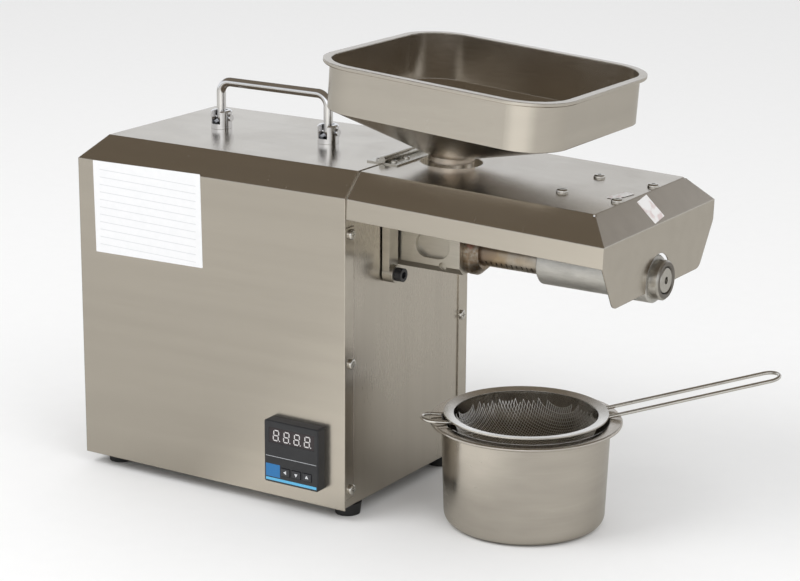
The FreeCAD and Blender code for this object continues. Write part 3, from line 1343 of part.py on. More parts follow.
strainer_rim = body("strainer_rim")
spin(strainer_rim, "Revolution", "RimBand", [
    ("strainer_inner", "strainer_z - 0.6"),
    ("strainer_outer", "strainer_z + 0.6"),
    ("strainer_outer", "strainer_z + 1.8"),
    ("strainer_inner", "strainer_z + 0.6"),
], "V_Axis")
strainer_bowl = body("strainer_bowl")
bowl = []
for i in range(9):
    bowl.append(("strainer_inner*cos(11.25deg*{0})".format(i),
                 "strainer_z - 0.7 - strainer_depth*sin(11.25deg*{0})".format(i)))
for i in range(8, -1, -1):
    bowl.append(("(strainer_inner - mesh_sheet)*cos(11.25deg*{0})".format(i),
                 "strainer_z - 0.7 - (strainer_depth - mesh_sheet)*sin(11.25deg*{0})".format(i)))
spin(strainer_bowl, "Revolution", "BowlWeave", bowl, "V_Axis")
for part in (strainer_rim, strainer_bowl):
    seat(part, "pot_x", "pot_y", "0")


def wire_hoop(name, reach, half_gap, turn, rise, rest_radius):
    """Two wires joined by a half circle at the far end, resting on the pot's rim."""
    hoop = body(name)
    path = sketch_on(hoop, name + "_path", "z", "0")
    far, gap, near = (got(reach), got(half_gap), got("wire_start"))
    straight = "{} - {}".format(reach, half_gap)
    low = "-" + half_gap
    path.addGeometry(Part.LineSegment(FreeCAD.Vector(near, -gap, 0), FreeCAD.Vector(far - gap, -gap, 0)))
    path.addGeometry(Part.Arc(FreeCAD.Vector(far - gap, -gap, 0), FreeCAD.Vector(far, 0, 0),
                              FreeCAD.Vector(far - gap, gap, 0)))
    path.addGeometry(Part.LineSegment(FreeCAD.Vector(far - gap, gap, 0), FreeCAD.Vector(near, gap, 0)))
    path.addConstraint(Sketcher.Constraint("Coincident", 0, 2, 1, 1))
    path.addConstraint(Sketcher.Constraint("Coincident", 1, 2, 2, 1))
    pin_point(path, 0, 1, ("wire_start", low), (near, -gap))
    pin_point(path, 0, 2, (straight, low), (far - gap, -gap))
    pin_point(path, 2, 1, (straight, half_gap), (far - gap, gap))
    pin_point(path, 2, 2, ("wire_start", half_gap), (near, gap))
    number = path.addConstraint(Sketcher.Constraint("DistanceX", -1, 1, 1, 3, far - gap))
    bind(path, "Constraints[" + str(number) + "]", straight)
    profile = sketch_on(hoop, name + "_profile", "x", "wire_start")
    add_ring(profile, (low, "0"), "wire_radius")
    doc.recompute()
    sweep = hoop.newObject("PartDesign::AdditivePipe", name + "_wire")
    sweep.Profile = profile
    sweep.Spine = (path, [])
    doc.recompute()
    yaw = FreeCAD.Rotation(Z_AXIS, got("handle_turn") + turn)
    hoop.Placement = FreeCAD.Placement(
        FreeCAD.Vector(), yaw.multiply(FreeCAD.Rotation(Y_AXIS, -got(rise))))
    seat(hoop, "pot_x", "pot_y",
         "pot_height + wire_radius + 0.35 - {0}*tan({1}*1deg)".format(rest_radius, rise))
    return hoop


strainer_handle = wire_hoop("strainer_handle", "handle_reach", "wire_half_gap", 0, "handle_rise",
                            "pot_top_radius")
strainer_loop = wire_hoop("strainer_loop", "loop_reach", "wire_half_gap", 180, "loop_rise", "pot_top_radius")

# -------------------------------------------------------------------- output
subparts = {
    "casing_shell": shell,
    "casing_screws": casing_screws,
    "front_panel": panel,
    "base_pan": tray,
    "rubber_feet": rubber_feet,
    "foot_screws": foot_screws,
    "handle_cups": handle_cups,
    "handle_pins": handle_pins,
    "carry_handle": carry_handle,
    "controller_bezel": bezel,
    "controller_window": controller_window,
    "controller_clip": controller_clip,
    "power_inlet": power_inlet,
    "inlet_pins": inlet_pins,
    "inlet_screws": inlet_screws,
    "switch_housings": switch_housings,
    "power_rocker": rockers[0],
    "direction_rocker": rockers[1],
    "gearbox_case": gearbox_case,
    "gearbox_lid": gearbox_lid,
    "output_shaft": output_shaft,
    "output_gear": output_gear,
    "layshaft_gears": layshaft_gears,
    "motor_body": motor_body,
    "motor_bells": motor_bells,
    "motor_rotor": motor_rotor,
    "cooling_fan": cooling_fan,
    "capacitor": capacitor,
    "power_board": power_board,
    "board_posts": board_posts,
    "feed_block": feed,
    "seat_studs": seat_studs,
    "clamp_yoke": clamp_yoke,
    "clamp_screws": clamp_screws,
    "lock_collar": collar,
    "press_cage": press_cage,
    "heater_sleeve": sleeve,
    "end_nut": nut,
    "press_screw": auger,
    "hinge_casing_leaf": hinge_casing_leaf,
    "hinge_casing_screws": hinge_casing_screws,
    "hinge_pin": hinge_pin,
    "hopper": pan,
    "pot": pot,
    "strainer_rim": strainer_rim,
    "strainer_bowl": strainer_bowl,
    "strainer_handle": strainer_handle,
    "strainer_loop": strainer_loop,
}
subparts.update(cover_set)
for name in ("key_left", "key_down", "key_up"):
    subparts[name] = doc.getObject(name)
doc.recompute()
faulty = [item.Name for item in doc.Objects
          if "Invalid" in item.State or "Error" in item.State]
if faulty:
    raise RuntimeError("features that did not build: " + ", ".join(faulty))
os.makedirs("parts", exist_ok=True)
for name, item in subparts.items():
    shape = item.Shape
    if shape.isNull() or not shape.isValid():
        raise RuntimeError(name + " has no sound shape")
    item.Label = name
    shape.exportStep("parts/" + name + ".step")
print(len(subparts), "sub-parts written")
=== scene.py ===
import math
import bpy
from mathutils import Euler, Matrix, Vector


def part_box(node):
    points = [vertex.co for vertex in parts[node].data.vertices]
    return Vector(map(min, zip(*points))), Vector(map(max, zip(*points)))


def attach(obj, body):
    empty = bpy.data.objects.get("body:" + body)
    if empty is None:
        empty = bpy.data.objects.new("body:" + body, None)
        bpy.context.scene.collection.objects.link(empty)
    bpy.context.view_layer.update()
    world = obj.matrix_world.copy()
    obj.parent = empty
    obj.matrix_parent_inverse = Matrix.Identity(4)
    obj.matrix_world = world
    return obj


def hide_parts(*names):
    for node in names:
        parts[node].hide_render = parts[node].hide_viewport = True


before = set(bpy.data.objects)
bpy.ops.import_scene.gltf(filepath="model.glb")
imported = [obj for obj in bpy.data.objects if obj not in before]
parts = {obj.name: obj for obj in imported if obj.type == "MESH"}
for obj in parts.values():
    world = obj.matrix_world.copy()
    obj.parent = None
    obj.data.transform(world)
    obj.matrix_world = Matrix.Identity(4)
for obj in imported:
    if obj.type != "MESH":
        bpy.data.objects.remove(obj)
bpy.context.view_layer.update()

# ------------------------------------------------------------------ casing
# The casing and the cover are folded from 1 mm stainless sheet with a drawn
# grain along the machine; the front panel behind the lips is the same sheet
# with its grain upright. Pan head screws hold the panel to the lips.


def add(tree, kind, **values):
    """One shader node; values are given by socket name, spaces as underscores."""
    made = tree.nodes.new(kind)
    for key, value in values.items():
        socket = made.inputs[key.replace("_", " ")]
        if isinstance(value, bpy.types.NodeSocket):
            tree.links.new(value, socket)
        else:
            socket.default_value = value
    return made


def sums(tree, operation, first, second, third=None):
    """A Math node's result, from sockets or numbers."""
    made = tree.nodes.new("ShaderNodeMath")
    made.operation = operation
    for socket, value in zip(made.inputs, (first, second, third)):
        if isinstance(value, bpy.types.NodeSocket):
            tree.links.new(value, socket)
        elif value is not None:
            socket.default_value = value
    return made.outputs[0]


def blend_colours(tree, mask, first, second):
    """A colour between two, each a socket or an RGB triple."""
    made = tree.nodes.new("ShaderNodeMix")
    made.data_type = "RGBA"
    for socket, value in zip((made.inputs[0], made.inputs[6], made.inputs[7]), (mask, first, second)):
        if isinstance(value, bpy.types.NodeSocket):
            tree.links.new(value, socket)
        elif isinstance(value, tuple):
            socket.default_value = (*value, 1.0)
        else:
            socket.default_value = value
    return made.outputs[2]


def stepped(tree, value, low, high, to_low=0.0, to_high=1.0):
    """A Map Range node's result, clamped."""
    made = tree.nodes.new("ShaderNodeMapRange")
    tree.links.new(value, made.inputs[0])
    for socket, number in zip(made.inputs[1:5], (low, high, to_low, to_high)):
        socket.default_value = number
    return made.outputs[0]


def new_group(name, wanted, given):
    """An empty node group with its sockets and the two end nodes."""
    group = bpy.data.node_groups.new(name, "ShaderNodeTree")
    for label, kind, value in wanted:
        socket = group.interface.new_socket(name=label, in_out="INPUT", socket_type=kind)
        socket.default_value = value
    for label, kind in given:
        group.interface.new_socket(name=label, in_out="OUTPUT", socket_type=kind)
    return group, group.nodes.new("NodeGroupInput"), group.nodes.new("NodeGroupOutput")


# Grain: fine lines left by brushing or turning. Stretch is large across the
# lines and small along them.
grain_group, ins, outs = new_group(
    "Brushed grain",
    [("Stretch", "NodeSocketVector", (0.04, 1.0, 1.0)), ("Fineness", "NodeSocketFloat", 1500.0)],
    [("Lines", "NodeSocketFloat"), ("Bands", "NodeSocketFloat")],
)
place = grain_group.nodes.new("ShaderNodeTexCoord")
drawn = grain_group.nodes.new("ShaderNodeVectorMath")
drawn.operation = "MULTIPLY"
grain_group.links.new(place.outputs["Object"], drawn.inputs[0])
grain_group.links.new(ins.outputs["Stretch"], drawn.inputs[1])
lines = add(grain_group, "ShaderNodeTexNoise", Vector=drawn.outputs[0], Scale=ins.outputs["Fineness"],
            Detail=4.0, Roughness=0.65)
bands = add(grain_group, "ShaderNodeTexNoise", Vector=drawn.outputs[0], Scale=90.0, Detail=3.0)
grain_group.links.new(lines.outputs[0], outs.inputs["Lines"])
grain_group.links.new(bands.outputs[0], outs.inputs["Bands"])

# Handling: cloudy finger marks, and sparse short scuffs that run any way.
marks_group, ins, outs = new_group(
    "Handling marks",
    [("Cloud size", "NodeSocketFloat", 14.0), ("Scuff size", "NodeSocketFloat", 110.0)],
    [("Smudge", "NodeSocketFloat"), ("Scuffs", "NodeSocketFloat")],
)
place = marks_group.nodes.new("ShaderNodeTexCoord")
clouds = add(marks_group, "ShaderNodeTexNoise", Vector=place.outputs["Object"], Scale=ins.outputs["Cloud size"],
             Detail=5.0, Roughness=0.55, Distortion=0.4)
marks_group.links.new(stepped(marks_group, clouds.outputs[0], 0.42, 0.68), outs.inputs["Smudge"])
scuffs = add(marks_group, "ShaderNodeTexNoise", Vector=place.outputs["Object"], Scale=ins.outputs["Scuff size"],
             Detail=8.0, Roughness=0.8, Distortion=2.0)
marks_group.links.new(stepped(marks_group, scuffs.outputs[0], 0.62, 0.72), outs.inputs["Scuffs"])

# Turned lines: rings round an axis, for pieces off a lathe or spun from sheet.
turned_group, ins, outs = new_group(
    "Turned lines",
    [("Centre", "NodeSocketVector", (0.0, 0.0, 0.0)), ("Turn", "NodeSocketVector", (0.0, 0.0, 0.0)),
     ("Fineness", "NodeSocketFloat", 1400.0)],
    [("Lines", "NodeSocketFloat"), ("Bands", "NodeSocketFloat"), ("Radius", "NodeSocketFloat")],
)
place = turned_group.nodes.new("ShaderNodeTexCoord")
moved = turned_group.nodes.new("ShaderNodeVectorMath")
moved.operation = "SUBTRACT"
turned_group.links.new(place.outputs["Object"], moved.inputs[0])
turned_group.links.new(ins.outputs["Centre"], moved.inputs[1])
turned = turned_group.nodes.new("ShaderNodeMapping")
turned_group.links.new(moved.outputs[0], turned.inputs["Vector"])
turned_group.links.new(ins.outputs["Turn"], turned.inputs["Rotation"])
split = add(turned_group, "ShaderNodeSeparateXYZ", Vector=turned.outputs[0])
flat = add(turned_group, "ShaderNodeCombineXYZ", X=split.outputs[0], Y=split.outputs[1])
reach = turned_group.nodes.new("ShaderNodeVectorMath")
reach.operation = "LENGTH"
turned_group.links.new(flat.outputs[0], reach.inputs[0])
angle = sums(turned_group, "ARCTAN2", split.outputs[1], split.outputs[0])
ring = add(turned_group, "ShaderNodeCombineXYZ", X=reach.outputs["Value"], Y=split.outputs[2],
           Z=sums(turned_group, "MULTIPLY", angle, 0.0006))
lines = add(turned_group, "ShaderNodeTexNoise", Vector=ring.outputs[0], Scale=ins.outputs["Fineness"],
            Detail=4.0, Roughness=0.6)
swath = add(turned_group, "ShaderNodeCombineXYZ", X=reach.outputs["Value"], Y=split.outputs[2],
            Z=sums(turned_group, "MULTIPLY", sums(turned_group, "COSINE", angle, 0.0), 0.02))
bands = add(turned_group, "ShaderNodeTexNoise", Vector=swath.outputs[0], Scale=120.0, Detail=3.0)
turned_group.links.new(lines.outputs[0], outs.inputs["Lines"])
turned_group.links.new(bands.outputs[0], outs.inputs["Bands"])
turned_group.links.new(reach.outputs["Value"], outs.inputs["Radius"])


def use_group(tree, group, **values):
    """A group placed in a material with its own input values."""
    made = tree.nodes.new("ShaderNodeGroup")
    made.node_tree = group
    for key, value in values.items():
        made.inputs[key.replace("_", " ")].default_value = value
    return made.outputs


def new_finish(name):
    """An empty Principled material: its tree and its shader."""
    material = bpy.data.materials.new(name)
    material.use_nodes = True
    tree = material.node_tree
    return material, tree, tree.nodes["Principled BSDF"]


def bumped(tree, shader, height, strength, distance, rounding=0.0):
    """Relief from a height, on edges rounded over by a small radius."""
    relief = add(tree, "ShaderNodeBump", Height=height, Strength=strength, Distance=distance)
    if rounding:
        soft_edge = tree.nodes.new("ShaderNodeBevel")
        soft_edge.samples = 6
        soft_edge.inputs["Radius"].default_value = rounding
        tree.links.new(soft_edge.outputs[0], relief.inputs["Normal"])
    tree.links.new(relief.outputs[0], shader.inputs["Normal"])


def metal(name, colour, rough, grain, relief=0.05, smudge=0.06, rounding=0.0005, contrast=0.10):
    """Bare metal: lines and bands of its grain, finger marks and scuffs."""
    material, tree, shader = new_finish(name)
    lines, bands = grain(tree)[0:2]
    marks = use_group(tree, marks_group)
    darker = tuple(c * (1.0 - contrast * 1.6) for c in colour)
    lighter = tuple(min(1.0, c * (1.0 + contrast)) for c in colour)
    streak = sums(tree, "MULTIPLY_ADD", bands, 0.6, sums(tree, "MULTIPLY", lines, 0.4))
    base = blend_colours(tree, stepped(tree, streak, 0.3, 0.7), darker, lighter)
    base = blend_colours(tree, sums(tree, "MULTIPLY", marks["Smudge"], 0.25), base, darker)
    tree.links.new(base, shader.inputs["Base Color"])
    shader.inputs["Metallic"].default_value = 1.0
    roughness = sums(tree, "MULTIPLY_ADD", lines, 0.10, rough - 0.05)
    roughness = sums(tree, "MULTIPLY_ADD", marks["Smudge"], smudge, roughness)
    roughness = sums(tree, "MULTIPLY_ADD", marks["Scuffs"], smudge * 1.5, roughness)
    tree.links.new(roughness, shader.inputs["Roughness"])
    bumped(tree, shader, lines, relief, 0.0002, rounding)
    return material, tree, shader, base


def brushed(stretch, fineness=1500.0):
    return lambda tree: use_group(tree, grain_group, Stretch=stretch, Fineness=fineness)


def lathed(centre, turn=(0.0, 0.0, 0.0), fineness=1400.0):
    return lambda tree: use_group(tree, turned_group, Centre=centre, Turn=turn, Fineness=fineness)


def paint(material, *names):
    """A finish on the CAD pieces of those names."""
    for name in names:
        slots = parts[name].data.materials
        if not slots:
            slots.append(material)
        for index in range(len(slots)):
            slots[index] = material


SHEET = (0.600, 0.560, 0.500)
ALONG_X = (0.03, 1.0, 1.0)
ALONG_Z = (1.0, 1.0, 0.03)
casing_sheet = metal("casing_sheet", SHEET, 0.19, brushed(ALONG_X), relief=0.035, contrast=0.04,
                     rounding=0.0012)[0]
paint(casing_sheet, "casing_shell", "top_cover")
panel_sheet = metal("panel_sheet", SHEET, 0.27, brushed(ALONG_Z), relief=0.04, contrast=0.03)[0]
paint(panel_sheet, "front_panel")
plain_sheet = metal("plain_sheet", (0.55, 0.53, 0.50), 0.38, brushed(ALONG_X), relief=0.15)[0]
paint(plain_sheet, "base_pan", "cover_stay")
screw_metal = metal("screw_metal", (0.70, 0.68, 0.64), 0.22, brushed((1.0, 1.0, 1.0), 700.0),
                    relief=0.10, rounding=0.0002)[0]
paint(screw_metal, "casing_screws", "foot_screws", "cover_screws", "cover_nuts", "hinge_casing_screws",
      "hinge_cover_screws", "inlet_screws", "seat_studs", "board_posts")

# Instruction label: a white vinyl sheet on the operator's side, here with no
# wording, only faint ruled lines. It is glued to the sheet, low and a little
# off square.


def select_only(thing):
    bpy.ops.object.select_all(action="DESELECT")
    thing.select_set(True)
    bpy.context.view_layer.objects.active = thing


def apply_place(thing):
    """The piece's place goes into its mesh, and its object to the origin."""
    select_only(thing)
    bpy.ops.object.transform_apply(location=True, rotation=True, scale=True)


def plate(name, size_x, size_y, thick, corner, centre, turn):
    """Thin plate with round corners, made flat, turned and put in place."""
    bpy.ops.object.select_all(action="DESELECT")
    bpy.ops.mesh.primitive_plane_add(size=1.0, location=(0, 0, 0))
    made = bpy.context.object
    made.name = name
    made.scale = (size_x, size_y, 1.0)
    apply_place(made)
    bpy.ops.object.mode_set(mode="EDIT")
    bpy.ops.mesh.select_all(action="SELECT")
    if corner:
        bpy.ops.mesh.bevel(offset=corner, segments=5, affect="VERTICES")
    bpy.ops.mesh.extrude_region_move(TRANSFORM_OT_translate={"value": (0.0, 0.0, thick)})
    bpy.ops.mesh.select_all(action="SELECT")
    bpy.ops.mesh.normals_make_consistent(inside=False)
    bpy.ops.object.mode_set(mode="OBJECT")
    made.rotation_euler = turn
    made.location = centre
    apply_place(made)
    return made


shell_low, shell_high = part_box("casing_shell")
side_y = shell_low[1]
LABEL_WIDTH = 0.101
LABEL_HEIGHT = 0.071
LABEL_TILT = math.radians(0.9)
FACING_NEAR = math.radians(90)
label_centre = (shell_low[0] + 0.0149 + LABEL_WIDTH / 2, side_y - 0.00002,
                shell_high[2] - 0.0163 - LABEL_HEIGHT / 2)
label = plate("instruction_label", LABEL_WIDTH, LABEL_HEIGHT, 0.00016, 0.0006, label_centre,
              (FACING_NEAR, -LABEL_TILT, 0.0))
label_vinyl, tree, shader = new_finish("label_vinyl")
place = tree.nodes.new("ShaderNodeTexCoord")
level = tree.nodes.new("ShaderNodeMapping")
tree.links.new(place.outputs["Object"], level.inputs["Vector"])
level.inputs["Location"].default_value = (-label_centre[0], 0.0, -label_centre[2])
split = add(tree, "ShaderNodeSeparateXYZ", Vector=level.outputs[0])
across = sums(tree, "ADD", split.outputs[0], sums(tree, "MULTIPLY", split.outputs[2], -LABEL_TILT))
height = sums(tree, "ADD", split.outputs[2], sums(tree, "MULTIPLY", split.outputs[0], LABEL_TILT))
RULE_STEP = 0.0058
rule = sums(tree, "PINGPONG", sums(tree, "ADD", height, 0.1), RULE_STEP / 2)
rule = stepped(tree, rule, 0.00022, 0.00030, 1.0, 0.0)
inside = sums(tree, "MULTIPLY", stepped(tree, sums(tree, "ABSOLUTE", across, 0.0), 0.0452, 0.0454, 1.0, 0.0),
              stepped(tree, sums(tree, "ABSOLUTE", height, 0.0), 0.0305, 0.0307, 1.0, 0.0))
paper = add(tree, "ShaderNodeTexNoise", Vector=place.outputs["Object"], Scale=240.0, Detail=3.0)
stock = blend_colours(tree, paper.outputs[0], (0.80, 0.81, 0.82), (0.87, 0.87, 0.88))
tree.links.new(blend_colours(tree, sums(tree, "MULTIPLY", sums(tree, "MULTIPLY", rule, inside), 0.45),
                             stock, (0.42, 0.43, 0.45)), shader.inputs["Base Color"])
shader.inputs["Roughness"].default_value = 0.42
bumped(tree, shader, paper.outputs[0], 0.05, 0.0001)
label.data.materials.append(label_vinyl)
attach(label, "press")

# ------------------------------------------------------- temperature controller
# Panel controller snapped into the casing side: a fine-grained black bezel,
# a smoked window with four red digits unlit behind it, and three keys.
WINDOW_LOW, WINDOW_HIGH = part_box("controller_window")
BEZEL_LOW, BEZEL_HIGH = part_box("controller_bezel")


def moulding(name, colour, rough, grain_size=2600.0, relief=0.12, coat=0.0, mottled=0.12):
    """Moulded plastic or rubber: fine grain, slight mottling, softened edges."""
    material, tree, shader = new_finish(name)
    place = tree.nodes.new("ShaderNodeTexCoord")
    pebble = add(tree, "ShaderNodeTexNoise", Vector=place.outputs["Object"], Scale=grain_size, Detail=2.0)
    marks = use_group(tree, marks_group, Cloud_size=40.0)
    worn = tuple(c * (1.0 + mottled * 3.0) + 0.004 for c in colour)
    tone = sums(tree, "MULTIPLY_ADD", marks["Smudge"], 0.6, sums(tree, "MULTIPLY", marks["Scuffs"], 0.4))
    tree.links.new(blend_colours(tree, tone, colour, worn), shader.inputs["Base Color"])
    tree.links.new(sums(tree, "MULTIPLY_ADD", pebble.outputs[0], 0.16, rough - 0.08), shader.inputs["Roughness"])
    shader.inputs["Coat Weight"].default_value = coat
    bumped(tree, shader, pebble.outputs[0], relief, 0.0001, 0.0003)
    return material


paint(moulding("controller_shell", (0.018, 0.019, 0.022), 0.42), "controller_bezel", "controller_clip")
paint(moulding("key_caps", (0.030, 0.031, 0.036), 0.36, relief=0.05), "key_left", "key_down", "key_up")
smoked, tree, shader = new_finish("smoked_window")
place = tree.nodes.new("ShaderNodeTexCoord")
haze = add(tree, "ShaderNodeTexNoise", Vector=place.outputs["Object"], Scale=90.0, Detail=3.0)
tree.links.new(blend_colours(tree, haze.outputs[0], (0.016, 0.012, 0.014), (0.034, 0.026, 0.030)),
               shader.inputs["Base Color"])
tree.links.new(sums(tree, "MULTIPLY_ADD", haze.outputs[0], 0.08, 0.10), shader.inputs["Roughness"])
bumped(tree, shader, haze.outputs[0], 0.02, 0.0001)
paint(smoked, "controller_window")


def printed(name, colour, rough=0.4):
    """A printed or moulded-in mark: flat ink with a slight speckle."""
    material, tree, shader = new_finish(name)
    place = tree.nodes.new("ShaderNodeTexCoord")
    speckle = add(tree, "ShaderNodeTexNoise", Vector=place.outputs["Object"], Scale=900.0, Detail=3.0)
    paler = tuple(min(1.0, c * 1.12 + 0.01) for c in colour)
    tree.links.new(blend_colours(tree, speckle.outputs[0], colour, paler), shader.inputs["Base Color"])
    tree.links.new(sums(tree, "MULTIPLY_ADD", speckle.outputs[0], 0.12, rough - 0.06), shader.inputs["Roughness"])
    bumped(tree, shader, speckle.outputs[0], 0.05, 0.0001)
    return material


def join_pieces(pieces, name):
    bpy.ops.object.select_all(action="DESELECT")
    for piece in pieces:
        piece.select_set(True)
    bpy.context.view_layer.objects.active = pieces[0]
    bpy.ops.object.join()
    joined = bpy.context.object
    joined.name = name
    return joined


# Each digit is seven bars and a point, leaning a little, as on any such display.
digit_ink = printed("digit_ink", (0.60, 0.58, 0.58))
DIGIT_TALL = 0.0078
DIGIT_WIDE = 0.0044
BAR_WIDE = 0.00085
LEAN = math.radians(7)
window_middle = (WINDOW_LOW[2] + WINDOW_HIGH[2]) / 2
window_width = WINDOW_HIGH[0] - WINDOW_LOW[0]
bars = []
for digit in range(4):
    middle = WINDOW_LOW[0] + window_width * (0.155 + 0.23 * digit)
    spots = []
    for side in (-1, 1):
        for half in (-1, 1):
            spots.append((side * DIGIT_WIDE / 2, half * DIGIT_TALL / 4, BAR_WIDE, DIGIT_TALL / 2 - BAR_WIDE))
    for step in (-1, 0, 1):
        spots.append((0.0, step * DIGIT_TALL / 2, DIGIT_WIDE - BAR_WIDE, BAR_WIDE))
    spots.append((DIGIT_WIDE * 0.82, -DIGIT_TALL / 2, BAR_WIDE, BAR_WIDE))
    for across, up, wide, tall in spots:
        place_x = middle + across + math.tan(LEAN) * up
        bars.append(plate("bar", wide, tall, 0.00006, min(wide, tall) * 0.35,
                          (place_x, WINDOW_LOW[1], window_middle + up), (FACING_NEAR, 0.0, 0.0)))
digits = join_pieces(bars, "display_digits")
digits.data.materials.clear()
digits.data.materials.append(digit_ink)
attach(digits, "press")

# Printed marks on the bezel: a pale rule, a blue corner patch where a name
# would stand, and a light blue stripe at the foot.
BEZEL_MARKS = (
    ("bezel_rule", (0.0015, 0.0467), (0.0273, 0.0276), (0.55, 0.57, 0.60)),
    ("bezel_patch", (0.0015, 0.0142), (0.0335, 0.0434), (0.012, 0.15, 0.38)),
    ("bezel_stripe", (0.0015, 0.0467), (0.0442, 0.0463), (0.10, 0.42, 0.68)),
)
for name, (left, right), (top, bottom), ink in BEZEL_MARKS:
    mark = plate(name, right - left, bottom - top, 0.00006, 0.0001,
                 (BEZEL_LOW[0] + (left + right) / 2, BEZEL_LOW[1], BEZEL_HIGH[2] - (top + bottom) / 2),
                 (FACING_NEAR, 0.0, 0.0))
    mark.data.materials.append(printed(name + "_ink", ink))
    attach(mark, "press")

# Arrow on each key: left, down and up.
arrow_ink = printed("arrow_ink", (0.62, 0.63, 0.65))
for key, heading in (("left", 90), ("down", 180), ("up", 0)):
    low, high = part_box("key_" + key)
    bpy.ops.object.select_all(action="DESELECT")
    bpy.ops.mesh.primitive_circle_add(vertices=3, radius=0.0017, fill_type="NGON", location=(0, 0, 0))
    arrow = bpy.context.object
    arrow.name = "key_arrow_" + key
    bpy.ops.object.mode_set(mode="EDIT")
    bpy.ops.mesh.select_all(action="SELECT")
    bpy.ops.mesh.bevel(offset=0.0002, segments=2, affect="VERTICES")
    bpy.ops.mesh.extrude_region_move(TRANSFORM_OT_translate={"value": (0.0, 0.0, 0.00006)})
    bpy.ops.mesh.select_all(action="SELECT")
    bpy.ops.mesh.normals_make_consistent(inside=False)
    bpy.ops.object.mode_set(mode="OBJECT")
    facing = Matrix.Rotation(FACING_NEAR, 4, "X") @ Matrix.Rotation(math.radians(heading), 4, "Z")
    arrow.matrix_world = Matrix.Translation(((low[0] + high[0]) / 2, low[1], (low[2] + high[2]) / 2)) @ facing
    apply_place(arrow)
    arrow.data.materials.append(arrow_ink)
    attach(arrow, key + "_key")

# ------------------------------------------------------------- feet and back
# Rubber feet bolted under the corners; moulded inlet and rocker switches
# snapped into the back sheet, the power rocker red.
paint(moulding("foot_moulding", (0.016, 0.016, 0.017), 0.62, 1500.0, 0.25), "rubber_feet")
paint(moulding("switch_moulding", (0.020, 0.020, 0.021), 0.45), "power_inlet", "switch_housings")
paint(moulding("red_rocker", (0.46, 0.020, 0.014), 0.22, relief=0.03, coat=0.4), "power_rocker")
paint(moulding("black_rocker", (0.022, 0.022, 0.023), 0.24, relief=0.03, coat=0.4), "direction_rocker")
paint(metal("contact_brass", (0.72, 0.56, 0.28), 0.25, brushed(ALONG_X), rounding=0.0002)[0], "inlet_pins")

# ------------------------------------------------------------- carry handle
# Chromed bar bent to a bow; each foot sits in a slotted, chromed round cup
# and turns on a cross pin.
chrome = metal("handle_plating", (0.80, 0.80, 0.81), 0.10, brushed((1.0, 1.0, 1.0), 500.0), relief=0.015,
               smudge=0.08, rounding=0.0003, contrast=0.04)[0]
paint(chrome, "carry_handle", "handle_cups", "handle_pins")

# -------------------------------------------------------------- drive inside
# Cast aluminium reducer and motor bells, machined gears, a painted motor
# body, a drawn capacitor can and a green circuit board.
paint(metal("cast_aluminium", (0.50, 0.50, 0.50), 0.52, brushed((1.0, 1.0, 1.0), 600.0), relief=0.5)[0],
      "gearbox_case", "gearbox_lid", "motor_bells")
paint(metal("machined_steel", (0.45, 0.44, 0.42), 0.32, brushed((1.0, 0.05, 0.05)), relief=0.1)[0],
      "output_shaft", "output_gear", "layshaft_gears", "motor_rotor")
paint(metal("drawn_can", (0.62, 0.62, 0.63), 0.30, brushed(ALONG_Z), relief=0.1)[0], "capacitor")
paint(moulding("motor_paint", (0.022, 0.023, 0.026), 0.40, 900.0, 0.2), "motor_body")
paint(moulding("fan_moulding", (0.52, 0.52, 0.48), 0.45), "cooling_fan")
paint(moulding("board_laminate", (0.014, 0.13, 0.050), 0.38, relief=0.05, coat=0.3), "power_board")

# ------------------------------------------------------------ pressing barrel
# Machined feed block with the clamp yoke over it, a slotted cage blued by
# heat near the collar, a matt sleeve over the heater and a turned end nut.
BARREL_AXIS = (0.0, 0.0, 0.197)
FROM_X = (0.0, math.radians(90), 0.0)
block_metal = metal("block_metal", (0.56, 0.53, 0.47), 0.33, brushed((0.05, 1.0, 1.0)), relief=0.18)[0]
paint(block_metal, "feed_block", "clamp_yoke")
paint(moulding("black_oxide", (0.014, 0.014, 0.016), 0.38, 1800.0, 0.1), "clamp_screws")


def heat_tint(tree, shader, base, mask, straw, blue):
    """Heat colours over a bare metal: straw, then blue where it was hottest."""
    shade = blend_colours(tree, stepped(tree, mask, 0.0, 0.55), base, straw)
    shade = blend_colours(tree, stepped(tree, mask, 0.55, 1.0), shade, blue)
    tree.links.new(shade, shader.inputs["Base Color"])


def cloud_over(tree, spans, size, low, high):
    """A mask that fades along X over a span, broken up by a cloud."""
    place = tree.nodes.new("ShaderNodeTexCoord")
    split = add(tree, "ShaderNodeSeparateXYZ", Vector=place.outputs["Object"])
    cloud = add(tree, "ShaderNodeTexNoise", Vector=place.outputs["Object"], Scale=size, Detail=4.0)
    fade = stepped(tree, split.outputs[0], spans[0], spans[1], 1.0, 0.0)
    return sums(tree, "MULTIPLY", fade, stepped(tree, cloud.outputs[0], low, high))


collar_low, collar_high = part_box("lock_collar")
cage_metal, tree, shader, base = metal("cage_metal", (0.54, 0.505, 0.45), 0.34,
                                       lathed(BARREL_AXIS, FROM_X), relief=0.25, contrast=0.2)
heat_tint(tree, shader, base, cloud_over(tree, (collar_high[0] - 0.004, collar_high[0] + 0.05), 60.0, 0.3, 0.6),
          (0.40, 0.31, 0.21), (0.22, 0.17, 0.14))
paint(cage_metal, "press_cage")
collar_metal, tree, shader, base = metal("collar_metal", (0.44, 0.39, 0.33), 0.30,
                                         lathed(BARREL_AXIS, FROM_X), relief=0.3, contrast=0.25)
place = tree.nodes.new("ShaderNodeTexCoord")
dab = add(tree, "ShaderNodeTexNoise", Vector=place.outputs["Object"], Scale=420.0, Detail=3.0)
near = tree.nodes.new("ShaderNodeVectorMath")
near.operation = "DISTANCE"
tree.links.new(place.outputs["Object"], near.inputs[0])
